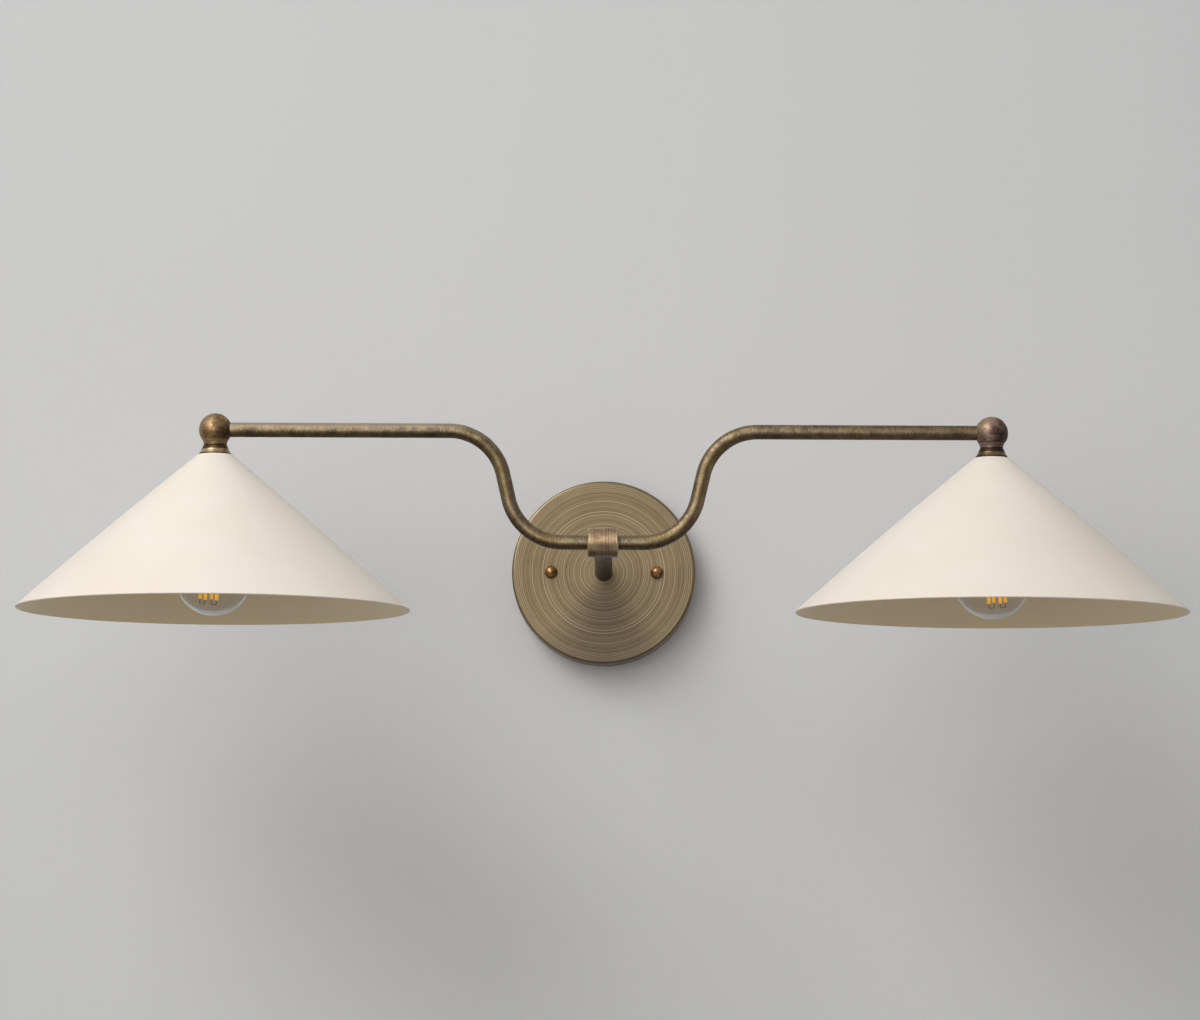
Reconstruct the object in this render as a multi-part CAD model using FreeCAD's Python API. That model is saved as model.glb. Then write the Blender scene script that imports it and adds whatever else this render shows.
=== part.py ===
# Double arm wall sconce with two cone shades, in millimetres.
#
# Frame: the origin is the backplate's centre on the wall plane. X runs to the right along the two arms,
# Y runs into the wall, so the light stands out along -Y, and Z is up.
# Threads are plain cylinders with a small clearance. Screwed joints seat face to face.
import FreeCAD, Part
import math
import os

# ---- Backplate and what fastens it
PLATE_DIAMETER = 127.0
PLATE_DEPTH = 22.0
PLATE_WALL = 1.2
PLATE_EDGE_RADIUS = 1.8
PLATE_INNER_RADIUS = 0.6
STUD_SPACING = 73.0
STUD_DIAMETER = 4.0
STUD_PROUD = 4.5
STUD_NUT_FLATS = 7.0
STUD_NUT_HEIGHT = 3.0
BALL_NUT_DIAMETER = 8.6
BALL_NUT_SEAT_DIAMETER = 6.0
BALL_NUT_TIP_ROOM = 0.6

# ---- Mounting bracket, a flat cross on the wall box
BRACKET_WIDTH = 18.0
BRACKET_THICKNESS = 2.0
BOX_SLOT_SPACING = 79.4
BOX_SLOT_LENGTH = 14.5
BOX_SLOT_WIDTH = 4.8
BOX_SLOT_MARGIN = 4.5
WIRE_HOLE_DIAMETER = 12.0

# ---- Earthing
EARTH_SCREW_DROP = 22.0
EARTH_SCREW_DIAMETER = 4.0
EARTH_SCREW_HEAD_DIAMETER = 9.4
EARTH_SCREW_HEAD_HEIGHT = 2.2
SCREW_SLOT_WIDTH = 1.0
SCREW_SLOT_DEPTH = 0.9
EARTH_RING_WIDTH = 2.6
EARTH_RING_THICKNESS = 0.8
EARTH_TAB_WIDTH = 3.0
EARTH_BARREL_START = 9.6
EARTH_BARREL_LENGTH = 6.0
EARTH_BARREL_WALL = 0.6
EARTH_LEAD_OUTREACH = 5.5
EARTH_LEAD_TURN_DROP = 13.0
EARTH_LEAD_TURN_X = 15.0
EARTH_LEAD_FIRST_RADIUS = 5.0
EARTH_LEAD_RADIUS = 6.0

# ---- Stem: threaded pipe, lock hardware and the tube over the pipe
STEM_REACH = 241.5
PIPE_DIAMETER = 10.0
PIPE_BORE = 7.6
PIPE_TAIL = 5.4
STEM_WALL = 0.9
LOCKNUT_FLATS = 14.0
LOCKNUT_HEIGHT = 3.0
WASHER_DIAMETER = 16.0
WASHER_THICKNESS = 1.0

# ---- Three-way tee
TEE_LENGTH = 20.0
TEE_WALL = 4.7
TEE_CHAMFER = 0.7
TEE_MOUTH_DEPTH = 0.8
TEE_MOUTH_GAP = 0.9
TEE_ARM_SEAT = 5.0
TEE_BOSS_REACH = 14.0
CORE_BORE = 8.2
CORE_TO_PIPE = 0.2

# ---- Arms: straight, bend up, straight, bend out, straight
HALF_SPAN = 251.0
ARM_RISE = 72.2
ARM_DIAMETER = 9.5
ARM_WALL = 1.0
ARM_INNER_RUN = 25.9
ARM_BEND_RADIUS = 36.0
ARM_BEND_ANGLE = 77.0

# ---- Ball with its waisted neck; drops are counted down from the ball's centre
BALL_DIAMETER = 21.4
BALL_ARM_SEAT = 5.5
BALL_CORE_END = 4.5
NECK_TOP_DROP = 5.0
NECK_WAIST_DROP = 8.8
NECK_GROOVE_DROP = 10.5
NECK_END_DROP = 12.1
NECK_WALL = 2.45
NECK_TOP_FLARE = 1.4
NECK_BEAD_FLARE = 0.6
NECK_BEAD_RISE = 0.3
NECK_WAIST_RADIUS = 3.0

# ---- Flared collar on the shade
COLLAR_HEIGHT = 4.0
COLLAR_TOP_WALL = 3.6
COLLAR_FOOT_WALL = 5.2
COLLAR_LIP = 0.7
COLLAR_COVE_DROP = 1.2
COLLAR_COVE_STEP = 0.3
COLLAR_COVE_RADIUS = 2.0

# ---- Cone shade
SHADE_TOP_RADIUS = 10.9
SHADE_RIM_RADIUS = 127.0
SHADE_HEIGHT = 100.2
SHADE_WALL = 1.0
SHADE_SHOULDER_RADIUS = 2.0
SHADE_CROWN_RADIUS = 3500.0
SHADE_CROWN_SHARE = 0.9
SHADE_RIM_ROUNDING = 0.3

# ---- Lamp socket
CAP_HUB_DIAMETER = 16.0
CAP_HUB_HEIGHT = 3.5
CAP_SHOULDER_DROP = 2.5
CAP_SHOULDER_RADIUS = 2.5
CAP_ROOM = 13.0
CAP_OVERLAP = 2.0
CAP_WALL = 1.4
NIPPLE_TAIL = 0.5
SOCKET_FLOOR = 3.0
SOCKET_SLEEVE_WALL = 3.6
SOCKET_SLEEVE_LENGTH = 28.0
SHELL_WALL = 0.5
SHELL_SETBACK = 1.0
CONTACT_THICKNESS = 0.5
CONTACT_STRIP_WIDTH = 7.0
CONTACT_STRIP_START = 4.0
TERMINAL_OFFSET = 9.5
TERMINAL_SCREW_DIAMETER = 3.0
TERMINAL_HEAD_DIAMETER = 6.0
TERMINAL_HEAD_HEIGHT = 1.8

# ---- Globe bulb; heights are counted down from the tip of its end contact
BULB_LENGTH = 83.0
GLOBE_DIAMETER = 50.0
GLASS_WALL = 0.7
BASE_CREST_DIAMETER = 26.1
BASE_THREAD_DEPTH = 0.75
BASE_THREAD_PITCH = 3.6
BASE_THREAD_TURNS = 5
BASE_THREAD_ROUNDING = 1.5
BASE_START = 5.8
BASE_SKIRT_LENGTH = 2.6
BASE_WALL = 0.4
BASE_CLEARANCE = 0.3
NECK_FIT = 0.15
NECK_INSERT = 6.0
NECK_FILLET = 12.0
TIP_DIAMETER = 9.2
TIP_HEIGHT = 1.2
TIP_ROUNDING = 0.5
INSULATOR_TOP_DIAMETER = 10.4
INSULATOR_CONE_HEIGHT = 4.4
INSULATOR_DEPTH = 2.6
STEM_GLASS_DIAMETER = 6.4
STEM_GLASS_FLARE_HEIGHT = 5.0
STEM_GLASS_TIP = 43.0
STEM_GLASS_DISC = 0.8
STEM_GLASS_LEAN = 3.6
FILAMENT_COUNT = 4
FILAMENT_DIAMETER = 2.2
FILAMENT_LENGTH = 27.0
FILAMENT_RING_RADIUS = 5.7
FILAMENT_TURN = 26.0
SUPPORT_WIRE_DIAMETER = 0.5
SUPPORT_RING_RADIUS = 2.2
SUPPORT_RISE = 1.7
SUPPORT_BEND_RADIUS = 0.8
LINK_DROP = 2.4

# ---- Leads and the connectors that join them behind the backplate
LEAD_DIAMETER = 2.1
LEAD_GAP = 0.5
LEAD_SWING = 1.0
LEAD_LOOP_RADIUS = 6.0
LEAD_TEE_RADIUS = 9.0
LEAD_BALL_RADIUS = 7.0
LEAD_TERMINAL_RADIUS = 4.0
LEAD_TAIL = 3.0
CONNECTOR_RISE = 22.0
CONNECTOR_START = 14.0
CONNECTOR_LENGTH = 20.0
CONNECTOR_COLLAR_LENGTH = 5.0
CONNECTOR_MOUTH_DIAMETER = 12.0
CONNECTOR_TIP_DIAMETER = 8.4
CONNECTOR_BORE_DEPTH = 15.0
CONNECTOR_ROUNDING = 1.2
LEAD_INSERT = 9.0

# ---- Clearances
THREAD_GAP = 0.05
SLEEVE_GAP = 0.1
THROUGH_GAP = 0.3
WIRE_GAP = 0.1

# ---- Places that follow from the sizes above
PLATE_INSIDE = PLATE_DEPTH - PLATE_WALL
PIPE_HOLE = PIPE_DIAMETER + 2 * THREAD_GAP
STEM_BORE = PIPE_DIAMETER + 2 * SLEEVE_GAP
STEM_DIAMETER = STEM_BORE + 2 * STEM_WALL
PIPE_START = PLATE_INSIDE - PIPE_TAIL
PIPE_END = STEM_REACH - CORE_BORE / 2 - CORE_TO_PIPE
ARM_BORE = ARM_DIAMETER - 2 * ARM_WALL
ARM_SOCKET = ARM_DIAMETER + 2 * THREAD_GAP
TEE_DIAMETER = ARM_SOCKET + 2 * TEE_WALL
STUD_HOLE = STUD_DIAMETER + 2 * THREAD_GAP

NECK_RADIUS = PIPE_HOLE / 2 + NECK_WALL
SHADE_TOP = -NECK_END_DROP - COLLAR_HEIGHT
CAP_TOP = SHADE_TOP - SHADE_WALL - WASHER_THICKNESS - LOCKNUT_HEIGHT
CAP_INSIDE = CAP_TOP - CAP_HUB_HEIGHT - CAP_WALL
NIPPLE_TOP = -CORE_BORE / 2 - CORE_TO_PIPE
NIPPLE_BOTTOM = CAP_INSIDE - NIPPLE_TAIL
BODY_TOP = CAP_TOP - CAP_ROOM
FLOOR_UNDER = BODY_TOP - SOCKET_FLOOR
BULB_TIP = FLOOR_UNDER - CONTACT_THICKNESS
SHELL_BORE = BASE_CREST_DIAMETER + 2 * BASE_CLEARANCE
SHELL_DIAMETER = SHELL_BORE + 2 * SHELL_WALL
SLEEVE_BORE = SHELL_DIAMETER + 2 * THREAD_GAP
SLEEVE_DIAMETER = SLEEVE_BORE + 2 * SOCKET_SLEEVE_WALL

BASE_ROOT_RADIUS = BASE_CREST_DIAMETER / 2 - BASE_THREAD_DEPTH
BASE_BORE_RADIUS = BASE_ROOT_RADIUS - BASE_WALL
BASE_END = BASE_START + BASE_THREAD_TURNS * BASE_THREAD_PITCH + BASE_SKIRT_LENGTH
GLASS_NECK_RADIUS = BASE_BORE_RADIUS - NECK_FIT
GLASS_START = BASE_END - NECK_INSERT
GLOBE_CENTRE = BULB_LENGTH - GLOBE_DIAMETER / 2
FILAMENT_START = STEM_GLASS_TIP + 2 * SUPPORT_RISE
FILAMENT_END = FILAMENT_START + FILAMENT_LENGTH

LEAD_OFFSET = (LEAD_DIAMETER + LEAD_GAP) / 2
LEAD_HOLE = LEAD_DIAMETER + 2 * WIRE_GAP
LEAD_PLANE = -STEM_REACH - LEAD_SWING
LOOP_PLANE = -PIPE_START + LEAD_LOOP_RADIUS
TERMINAL_LEAD_HEIGHT = BODY_TOP + LEAD_DIAMETER / 2 + WIRE_GAP
TERMINAL_SIDESTEP = (LEAD_DIAMETER + TERMINAL_SCREW_DIAMETER) / 2 + WIRE_GAP
CONNECTOR_BORE = 2 * LEAD_DIAMETER + LEAD_GAP + 2 * THROUGH_GAP

# ---- Directions
TOLERANCE = 1e-6
LEFT = -1
RIGHT = 1
SIDES = {"left": LEFT, "right": RIGHT}


def vec(x, y, z):
    return FreeCAD.Vector(x, y, z)


ORIGIN = vec(0, 0, 0)
AXIS_X = vec(1, 0, 0)
AXIS_Y = vec(0, 1, 0)
AXIS_Z = vec(0, 0, 1)
TO_FRONT = FreeCAD.Rotation(AXIS_X, 90)
TO_BOTTOM = FreeCAD.Rotation(AXIS_X, 180)
TO_RIGHT = FreeCAD.Rotation(AXIS_Y, 90)
TO_LEFT = FreeCAD.Rotation(AXIS_Y, -90)
QUARTER_TURN = FreeCAD.Rotation(AXIS_Z, 90)
UNTURNED = FreeCAD.Rotation()
TEE_CENTRE = vec(0, -STEM_REACH, 0)
BALL_CENTRE = vec(HALF_SPAN, -STEM_REACH, ARM_RISE)


# ---- Shapes that repeat

def placed(shape, at, rotation=UNTURNED):
    """A copy of the shape, turned about the origin and then moved."""
    copy = shape.copy()
    copy.Placement = FreeCAD.Placement(at, rotation).multiply(shape.Placement)
    return copy


def on_side(shape, side):
    """The right-hand shape itself, or its mirror image for the left."""
    return shape if side == RIGHT else shape.mirror(ORIGIN, AXIS_X)


def tangent_arc(before, corner, after, radius):
    """Start, middle and end of the arc that rounds a corner between two straight runs."""
    into = (corner - before).normalize()
    out = (after - corner).normalize()
    turn = into.getAngle(out)
    reach = radius * math.tan(turn / 2)
    bulge = radius / math.cos(turn / 2) - radius
    inward = (out - into).normalize()
    return corner - into * reach, corner + inward * bulge, corner + out * reach


def rounded_wire(points, radii, closed=False):
    """Straight runs through the points, with each point rounded by its radius."""
    count = len(points)
    corners = []
    for index, (point, radius) in enumerate(zip(points, radii)):
        if radius:
            after = points[(index + 1) % count]
            corners.append(tangent_arc(points[index - 1], point, after, radius))
        else:
            corners.append((point, point, point))
    edges = []
    for index, (start, middle, end) in enumerate(corners):
        if radii[index]:
            edges.append(Part.Arc(start, middle, end).toShape())
        if closed or index + 1 < count:
            following = corners[(index + 1) % count][0]
            if (following - end).Length > TOLERANCE:
                edges.append(Part.LineSegment(end, following).toShape())
    return Part.Wire(edges)


def turned(*corners):
    """A solid turned about Z from (radius, height) corners; a third value rounds a corner."""
    points = [vec(corner[0], 0, corner[1]) for corner in corners]
    radii = [corner[2] if len(corner) > 2 else 0 for corner in corners]
    return Part.Face(rounded_wire(points, radii, closed=True)).revolve(ORIGIN, AXIS_Z, 360)


def rod(diameter, length):
    return Part.makeCylinder(diameter / 2, length)


def ring(outer, inner, height):
    return rod(outer, height).cut(rod(inner, height))


def hex_nut(flats, bore, height):
    corner = flats / math.sqrt(3)
    angles = [step * math.pi / 3 for step in range(7)]
    hexagon = Part.makePolygon([vec(corner * math.cos(a), corner * math.sin(a), 0) for a in angles])
    return Part.Face(hexagon).extrude(vec(0, 0, height)).cut(rod(bore, height))


def round_ended_bar(length, width, height):
    """A flat bar along X, centred, with both ends fully round."""
    x = length / 2
    y = width / 2
    points = [vec(-x, -y, 0), vec(x, -y, 0), vec(x, y, 0), vec(-x, y, 0)]
    return Part.Face(rounded_wire(points, [y] * 4, closed=True)).extrude(vec(0, 0, height))


def block(low, high):
    """A box between two opposite corners."""
    size = high - low
    return Part.makeBox(size.x, size.y, size.z, low)


def swept(diameter, wire):
    """A round bar along a wire."""
    first = wire.Edges[0]
    section = Part.makeCircle(diameter / 2, first.valueAt(first.FirstParameter),
                              first.tangentAt(first.FirstParameter))
    return wire.makePipeShell([Part.Wire(section)], True, False)


def slotted(screw, head_top, width):
    """The screw with a driver slot across its head."""
    slot = block(vec(-width, -SCREW_SLOT_WIDTH / 2, head_top - SCREW_SLOT_DEPTH),
                 vec(width, SCREW_SLOT_WIDTH / 2, head_top))
    return screw.cut(slot)


# ---- Wall side

def backplate():
    outside = PLATE_DIAMETER / 2
    inside = outside - PLATE_WALL
    cup = turned((0, PLATE_DEPTH), (outside, PLATE_DEPTH, PLATE_EDGE_RADIUS), (outside, 0),
                 (inside, 0), (inside, PLATE_INSIDE, PLATE_INNER_RADIUS), (0, PLATE_INSIDE))
    cup = cup.cut(rod(PIPE_DIAMETER + 2 * THROUGH_GAP, PLATE_DEPTH))
    for side in SIDES.values():
        hole = placed(rod(STUD_DIAMETER + 2 * THROUGH_GAP, PLATE_DEPTH), vec(side * STUD_SPACING / 2, 0, 0))
        cup = cup.cut(hole)
    return placed(cup, ORIGIN, TO_FRONT)


def mounting_bracket():
    """Cross with tapped holes for the studs, slots for the box screws and a hole for the supply wires."""
    stud_bar = round_ended_bar(STUD_SPACING + BRACKET_WIDTH, BRACKET_WIDTH, BRACKET_THICKNESS)
    box_bar_length = BOX_SLOT_SPACING + BOX_SLOT_LENGTH + 2 * BOX_SLOT_MARGIN
    box_bar = round_ended_bar(box_bar_length, BRACKET_WIDTH, BRACKET_THICKNESS)
    plate = stud_bar.fuse(placed(box_bar, ORIGIN, QUARTER_TURN)).removeSplitter()
    plate = plate.cut(rod(WIRE_HOLE_DIAMETER, BRACKET_THICKNESS))
    earth_hole = rod(EARTH_SCREW_DIAMETER + 2 * THREAD_GAP, BRACKET_THICKNESS)
    plate = plate.cut(placed(earth_hole, vec(0, -EARTH_SCREW_DROP, 0)))
    slot = round_ended_bar(BOX_SLOT_LENGTH, BOX_SLOT_WIDTH, BRACKET_THICKNESS)
    for side in SIDES.values():
        plate = plate.cut(placed(rod(STUD_HOLE, BRACKET_THICKNESS), vec(side * STUD_SPACING / 2, 0, 0)))
        plate = plate.cut(placed(slot, vec(0, side * BOX_SLOT_SPACING / 2, 0), QUARTER_TURN))
    return placed(plate, ORIGIN, TO_FRONT)


def at_studs(shape, depth):
    """Two copies on the studs' axes, starting this far in front of the wall."""
    places = [vec(side * STUD_SPACING / 2, -depth, 0) for side in SIDES.values()]
    return Part.makeCompound([placed(shape, place, TO_FRONT) for place in places])


def ball_nut(side):
    """Round nut with a flat seat and a blind bore that covers the stud's end."""
    radius = BALL_NUT_DIAMETER / 2
    seat_drop = math.sqrt(radius ** 2 - (BALL_NUT_SEAT_DIAMETER / 2) ** 2)
    ball = Part.makeSphere(radius, vec(0, 0, seat_drop))
    ball = ball.cut(block(vec(-radius, -radius, -radius), vec(radius, radius, 0)))
    ball = ball.cut(rod(STUD_HOLE, STUD_PROUD + BALL_NUT_TIP_ROOM))
    return placed(ball, vec(side * STUD_SPACING / 2, -PLATE_DEPTH, 0), TO_FRONT)


def earth_screw():
    head_seat = BRACKET_THICKNESS + LEAD_HOLE
    head_top = head_seat + EARTH_SCREW_HEAD_HEIGHT
    shank = EARTH_SCREW_DIAMETER / 2
    head = EARTH_SCREW_HEAD_DIAMETER / 2
    screw = turned((0, 0), (shank, 0), (shank, head_seat), (head, head_seat),
                   (head, head_top, EARTH_SCREW_HEAD_HEIGHT / 2), (0, head_top))
    return placed(slotted(screw, head_top, head), vec(0, 0, -EARTH_SCREW_DROP), TO_FRONT)


def earth_ring():
    """Ring terminal under the pipe's lock nut, with a tab and a crimped barrel towards the left."""
    outer = PIPE_HOLE + 2 * EARTH_RING_WIDTH
    barrel = LEAD_HOLE + 2 * EARTH_BARREL_WALL
    end = EARTH_BARREL_START + EARTH_BARREL_LENGTH
    tab = block(vec(-end, -EARTH_TAB_WIDTH / 2, -EARTH_RING_THICKNESS), vec(0, EARTH_TAB_WIDTH / 2, 0))
    washer = placed(rod(outer, EARTH_RING_THICKNESS), vec(0, 0, -EARTH_RING_THICKNESS))
    crimp_at = vec(-EARTH_BARREL_START, 0, -barrel / 2)
    crimp = placed(rod(barrel, EARTH_BARREL_LENGTH), crimp_at, TO_LEFT)
    bore = placed(rod(LEAD_HOLE, EARTH_BARREL_LENGTH), crimp_at, TO_LEFT)
    pipe_hole = placed(rod(PIPE_HOLE, EARTH_RING_THICKNESS), vec(0, 0, -EARTH_RING_THICKNESS))
    terminal = washer.fuse(tab).fuse(crimp).cut(bore).cut(pipe_hole).removeSplitter()
    return placed(terminal, vec(0, WASHER_THICKNESS - PLATE_INSIDE, 0), TO_FRONT)


def earth_lead():
    """From the ring terminal's barrel down to the bracket and in a hook round the earthing screw."""
    barrel_radius = LEAD_HOLE / 2 + EARTH_BARREL_WALL
    high = WASHER_THICKNESS - PLATE_INSIDE + barrel_radius
    low = -BRACKET_THICKNESS - LEAD_HOLE / 2
    hook = (EARTH_SCREW_DIAMETER + LEAD_HOLE) / 2
    barrel_end = -EARTH_BARREL_START - EARTH_BARREL_LENGTH
    points = [
        vec(-EARTH_BARREL_START - WIRE_GAP, high, 0),
        vec(barrel_end - EARTH_LEAD_OUTREACH, high, 0),
        vec(barrel_end - EARTH_LEAD_OUTREACH, high / 2, -EARTH_LEAD_TURN_DROP),
        vec(-EARTH_LEAD_TURN_X, low, -EARTH_SCREW_DROP - hook),
        vec(hook, low, -EARTH_SCREW_DROP - hook),
        vec(hook, low, -EARTH_SCREW_DROP + hook),
        vec(-hook, low, -EARTH_SCREW_DROP + hook),
    ]
    radii = [0, EARTH_LEAD_FIRST_RADIUS, EARTH_LEAD_RADIUS, EARTH_LEAD_RADIUS, hook, hook, 0]
    return swept(LEAD_DIAMETER, rounded_wire(points, radii))


def connector(direction):
    """Screw-on wire connector lying along X behind the backplate; live up left, neutral down right."""
    mouth = CONNECTOR_MOUTH_DIAMETER / 2
    tip = CONNECTOR_TIP_DIAMETER / 2
    cone = turned((0, 0), (mouth, 0), (mouth, CONNECTOR_COLLAR_LENGTH),
                  (tip, CONNECTOR_LENGTH, CONNECTOR_ROUNDING), (0, CONNECTOR_LENGTH))
    cone = cone.cut(rod(CONNECTOR_BORE, CONNECTOR_BORE_DEPTH))
    rotation = TO_LEFT if direction == LEFT else TO_RIGHT
    return placed(cone, vec(direction * CONNECTOR_START, LOOP_PLANE, -direction * CONNECTOR_RISE), rotation)


# ---- Stem and tee

def along_stem(shape, depth):
    return placed(shape, vec(0, -depth, 0), TO_FRONT)


def pipe_locknut():
    depth = PLATE_INSIDE - WASHER_THICKNESS - EARTH_RING_THICKNESS - LOCKNUT_HEIGHT
    return along_stem(hex_nut(LOCKNUT_FLATS, PIPE_HOLE, LOCKNUT_HEIGHT), depth)


def tee_body():
    """Collar across the arms' axis, with a boss at its back for the threaded pipe."""
    radius = TEE_DIAMETER / 2
    half = TEE_LENGTH / 2
    collar = turned((0, -half), (radius - TEE_CHAMFER, -half), (radius, TEE_CHAMFER - half),
                    (radius, half - TEE_CHAMFER), (radius - TEE_CHAMFER, half), (0, half))
    body = placed(collar, ORIGIN, TO_RIGHT)
    boss = placed(rod(STEM_DIAMETER, TEE_BOSS_REACH), vec(0, TEE_BOSS_REACH, 0), TO_FRONT)
    body = body.fuse(boss)
    body = body.cut(placed(rod(CORE_BORE, TEE_LENGTH), vec(-half, 0, 0), TO_RIGHT))
    body = body.cut(placed(rod(PIPE_HOLE, TEE_BOSS_REACH), vec(0, TEE_BOSS_REACH, 0), TO_FRONT))
    for side in SIDES.values():
        socket = placed(rod(ARM_SOCKET, half), vec(TEE_ARM_SEAT, 0, 0), TO_RIGHT)
        mouth = rod(ARM_SOCKET + 2 * TEE_MOUTH_GAP, TEE_MOUTH_DEPTH)
        mouth = placed(mouth, vec(half - TEE_MOUTH_DEPTH, 0, 0), TO_RIGHT)
        body = body.cut(on_side(socket, side)).cut(on_side(mouth, side))
    return placed(body, TEE_CENTRE)


# ---- Arm, ball and shade, all made for the right-hand side

def arm_corners():
    """The arm's two bend corners and its two ends, as (x, z) from the tee's centre."""
    turn = math.radians(ARM_BEND_ANGLE)
    lower = ARM_INNER_RUN + ARM_BEND_RADIUS * math.tan(turn / 2)
    upper = lower + ARM_RISE / math.tan(turn)
    return (TEE_ARM_SEAT, 0), (lower, 0), (upper, ARM_RISE), (HALF_SPAN - BALL_ARM_SEAT, ARM_RISE)


def arm():
    points = [vec(x, -STEM_REACH, z) for x, z in arm_corners()]
    path = rounded_wire(points, [0, ARM_BEND_RADIUS, ARM_BEND_RADIUS, 0])
    return swept(ARM_DIAMETER, path).cut(swept(ARM_BORE, path))


def arm_ball():
    """Ball with a waisted neck and a bead, bored from the side for the arm and from below for the nipple."""
    radius = BALL_DIAMETER / 2
    bead = NECK_RADIUS + NECK_BEAD_FLARE
    neck = turned((0, -NECK_TOP_DROP), (NECK_RADIUS + NECK_TOP_FLARE, -NECK_TOP_DROP),
                  (NECK_RADIUS, -NECK_WAIST_DROP, NECK_WAIST_RADIUS), (NECK_RADIUS, -NECK_GROOVE_DROP),
                  (bead, -NECK_GROOVE_DROP - NECK_BEAD_RISE), (bead, -NECK_END_DROP), (0, -NECK_END_DROP))
    ball = Part.makeSphere(radius).fuse(neck)
    ball = ball.cut(placed(rod(ARM_SOCKET, radius), vec(-BALL_ARM_SEAT, 0, 0), TO_LEFT))
    ball = ball.cut(placed(rod(CORE_BORE, BALL_ARM_SEAT + BALL_CORE_END), vec(BALL_CORE_END, 0, 0), TO_LEFT))
    ball = ball.cut(placed(rod(PIPE_HOLE, NECK_END_DROP), vec(0, 0, 0), TO_BOTTOM))
    return placed(ball, BALL_CENTRE)


def shade_collar():
    hole = PIPE_HOLE / 2
    top = hole + COLLAR_TOP_WALL
    foot = hole + COLLAR_FOOT_WALL
    cove = -NECK_END_DROP - COLLAR_COVE_DROP
    collar = turned((hole, -NECK_END_DROP), (top, -NECK_END_DROP),
                    (top + COLLAR_COVE_STEP, cove, COLLAR_COVE_RADIUS), (foot, SHADE_TOP + COLLAR_LIP),
                    (foot, SHADE_TOP), (hole, SHADE_TOP))
    return placed(collar, BALL_CENTRE)


def shade():
    """Cone of even wall whose side swells slightly, with a rounded shoulder and its rim cut square."""
    hole = PIPE_DIAMETER / 2 + THROUGH_GAP
    top = vec(SHADE_TOP_RADIUS, 0, 0)
    rim = vec(SHADE_RIM_RADIUS, 0, -SHADE_HEIGHT)
    side = rim - top
    half_turn = math.atan(side.Length / 2 * SHADE_CROWN_SHARE / SHADE_CROWN_RADIUS)
    outward = vec(SHADE_HEIGHT, 0, rim.x - top.x).normalize()
    crown = (top + rim) / 2 + outward * (side.Length / 2 * math.tan(half_turn))
    upper_normal = vec(top.z - crown.z, 0, crown.x - top.x).normalize()
    lower_normal = vec(crown.z - rim.z, 0, rim.x - crown.x).normalize()
    inner_crown = crown - outward * (SHADE_WALL / math.cos(half_turn))
    inner_rim = rim - lower_normal * SHADE_WALL
    inner_top = top.x + SHADE_WALL * (upper_normal.z - 1) / upper_normal.x
    inner_shoulder = SHADE_SHOULDER_RADIUS - SHADE_WALL
    cone = turned((hole, 0), (top.x, top.z, SHADE_SHOULDER_RADIUS), (crown.x, crown.z, SHADE_CROWN_RADIUS),
                  (rim.x, rim.z, SHADE_RIM_ROUNDING), (inner_rim.x, inner_rim.z, SHADE_RIM_ROUNDING),
                  (inner_crown.x, inner_crown.z, SHADE_CROWN_RADIUS - SHADE_WALL),
                  (inner_top, -SHADE_WALL, inner_shoulder), (hole, -SHADE_WALL))
    return placed(cone, BALL_CENTRE + vec(0, 0, SHADE_TOP))


def below_ball(shape, height):
    return placed(shape, BALL_CENTRE + vec(0, 0, height))


def shade_washer():
    return below_ball(ring(WASHER_DIAMETER, PIPE_HOLE, WASHER_THICKNESS),
                      SHADE_TOP - SHADE_WALL - WASHER_THICKNESS)


def head_nipple():
    return below_ball(ring(PIPE_DIAMETER, PIPE_BORE, NIPPLE_TOP - NIPPLE_BOTTOM), NIPPLE_BOTTOM)


# ---- Lamp socket

def socket_cap():
    hole = PIPE_HOLE / 2
    hub = CAP_HUB_DIAMETER / 2
    outside = SLEEVE_DIAMETER / 2
    inside = outside - CAP_WALL
    slope_top = CAP_TOP - CAP_HUB_HEIGHT
    shoulder = slope_top - CAP_SHOULDER_DROP
    end = BODY_TOP - CAP_OVERLAP
    cap = turned((hole, CAP_TOP), (hub, CAP_TOP), (hub, slope_top), (outside, shoulder, CAP_SHOULDER_RADIUS),
                 (outside, end), (inside, end), (inside, shoulder - CAP_WALL), (hub, CAP_INSIDE),
                 (hole, CAP_INSIDE))
    return placed(cap, BALL_CENTRE)


def terminal_at(side):
    """Axis of a terminal screw, beside the end of its lead."""
    return BALL_CENTRE + vec(side * TERMINAL_OFFSET, TERMINAL_SIDESTEP - LEAD_SWING, 0)


def socket_body():
    """Insulating body: a floor under the cap and a sleeve round the screw shell."""
    outside = SLEEVE_DIAMETER / 2
    spigot = outside - CAP_WALL - THREAD_GAP
    bore = SLEEVE_BORE / 2
    end = FLOOR_UNDER - SOCKET_SLEEVE_LENGTH
    step = BODY_TOP - CAP_OVERLAP
    body = turned((0, BODY_TOP), (spigot, BODY_TOP), (spigot, step), (outside, step), (outside, end),
                  (bore, end), (bore, FLOOR_UNDER), (0, FLOOR_UNDER))
    body = placed(body, BALL_CENTRE)
    for side in SIDES.values():
        hole = rod(TERMINAL_SCREW_DIAMETER + 2 * THREAD_GAP, SOCKET_FLOOR)
        body = body.cut(placed(hole, terminal_at(side) + vec(0, 0, FLOOR_UNDER)))
    return body


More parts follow.
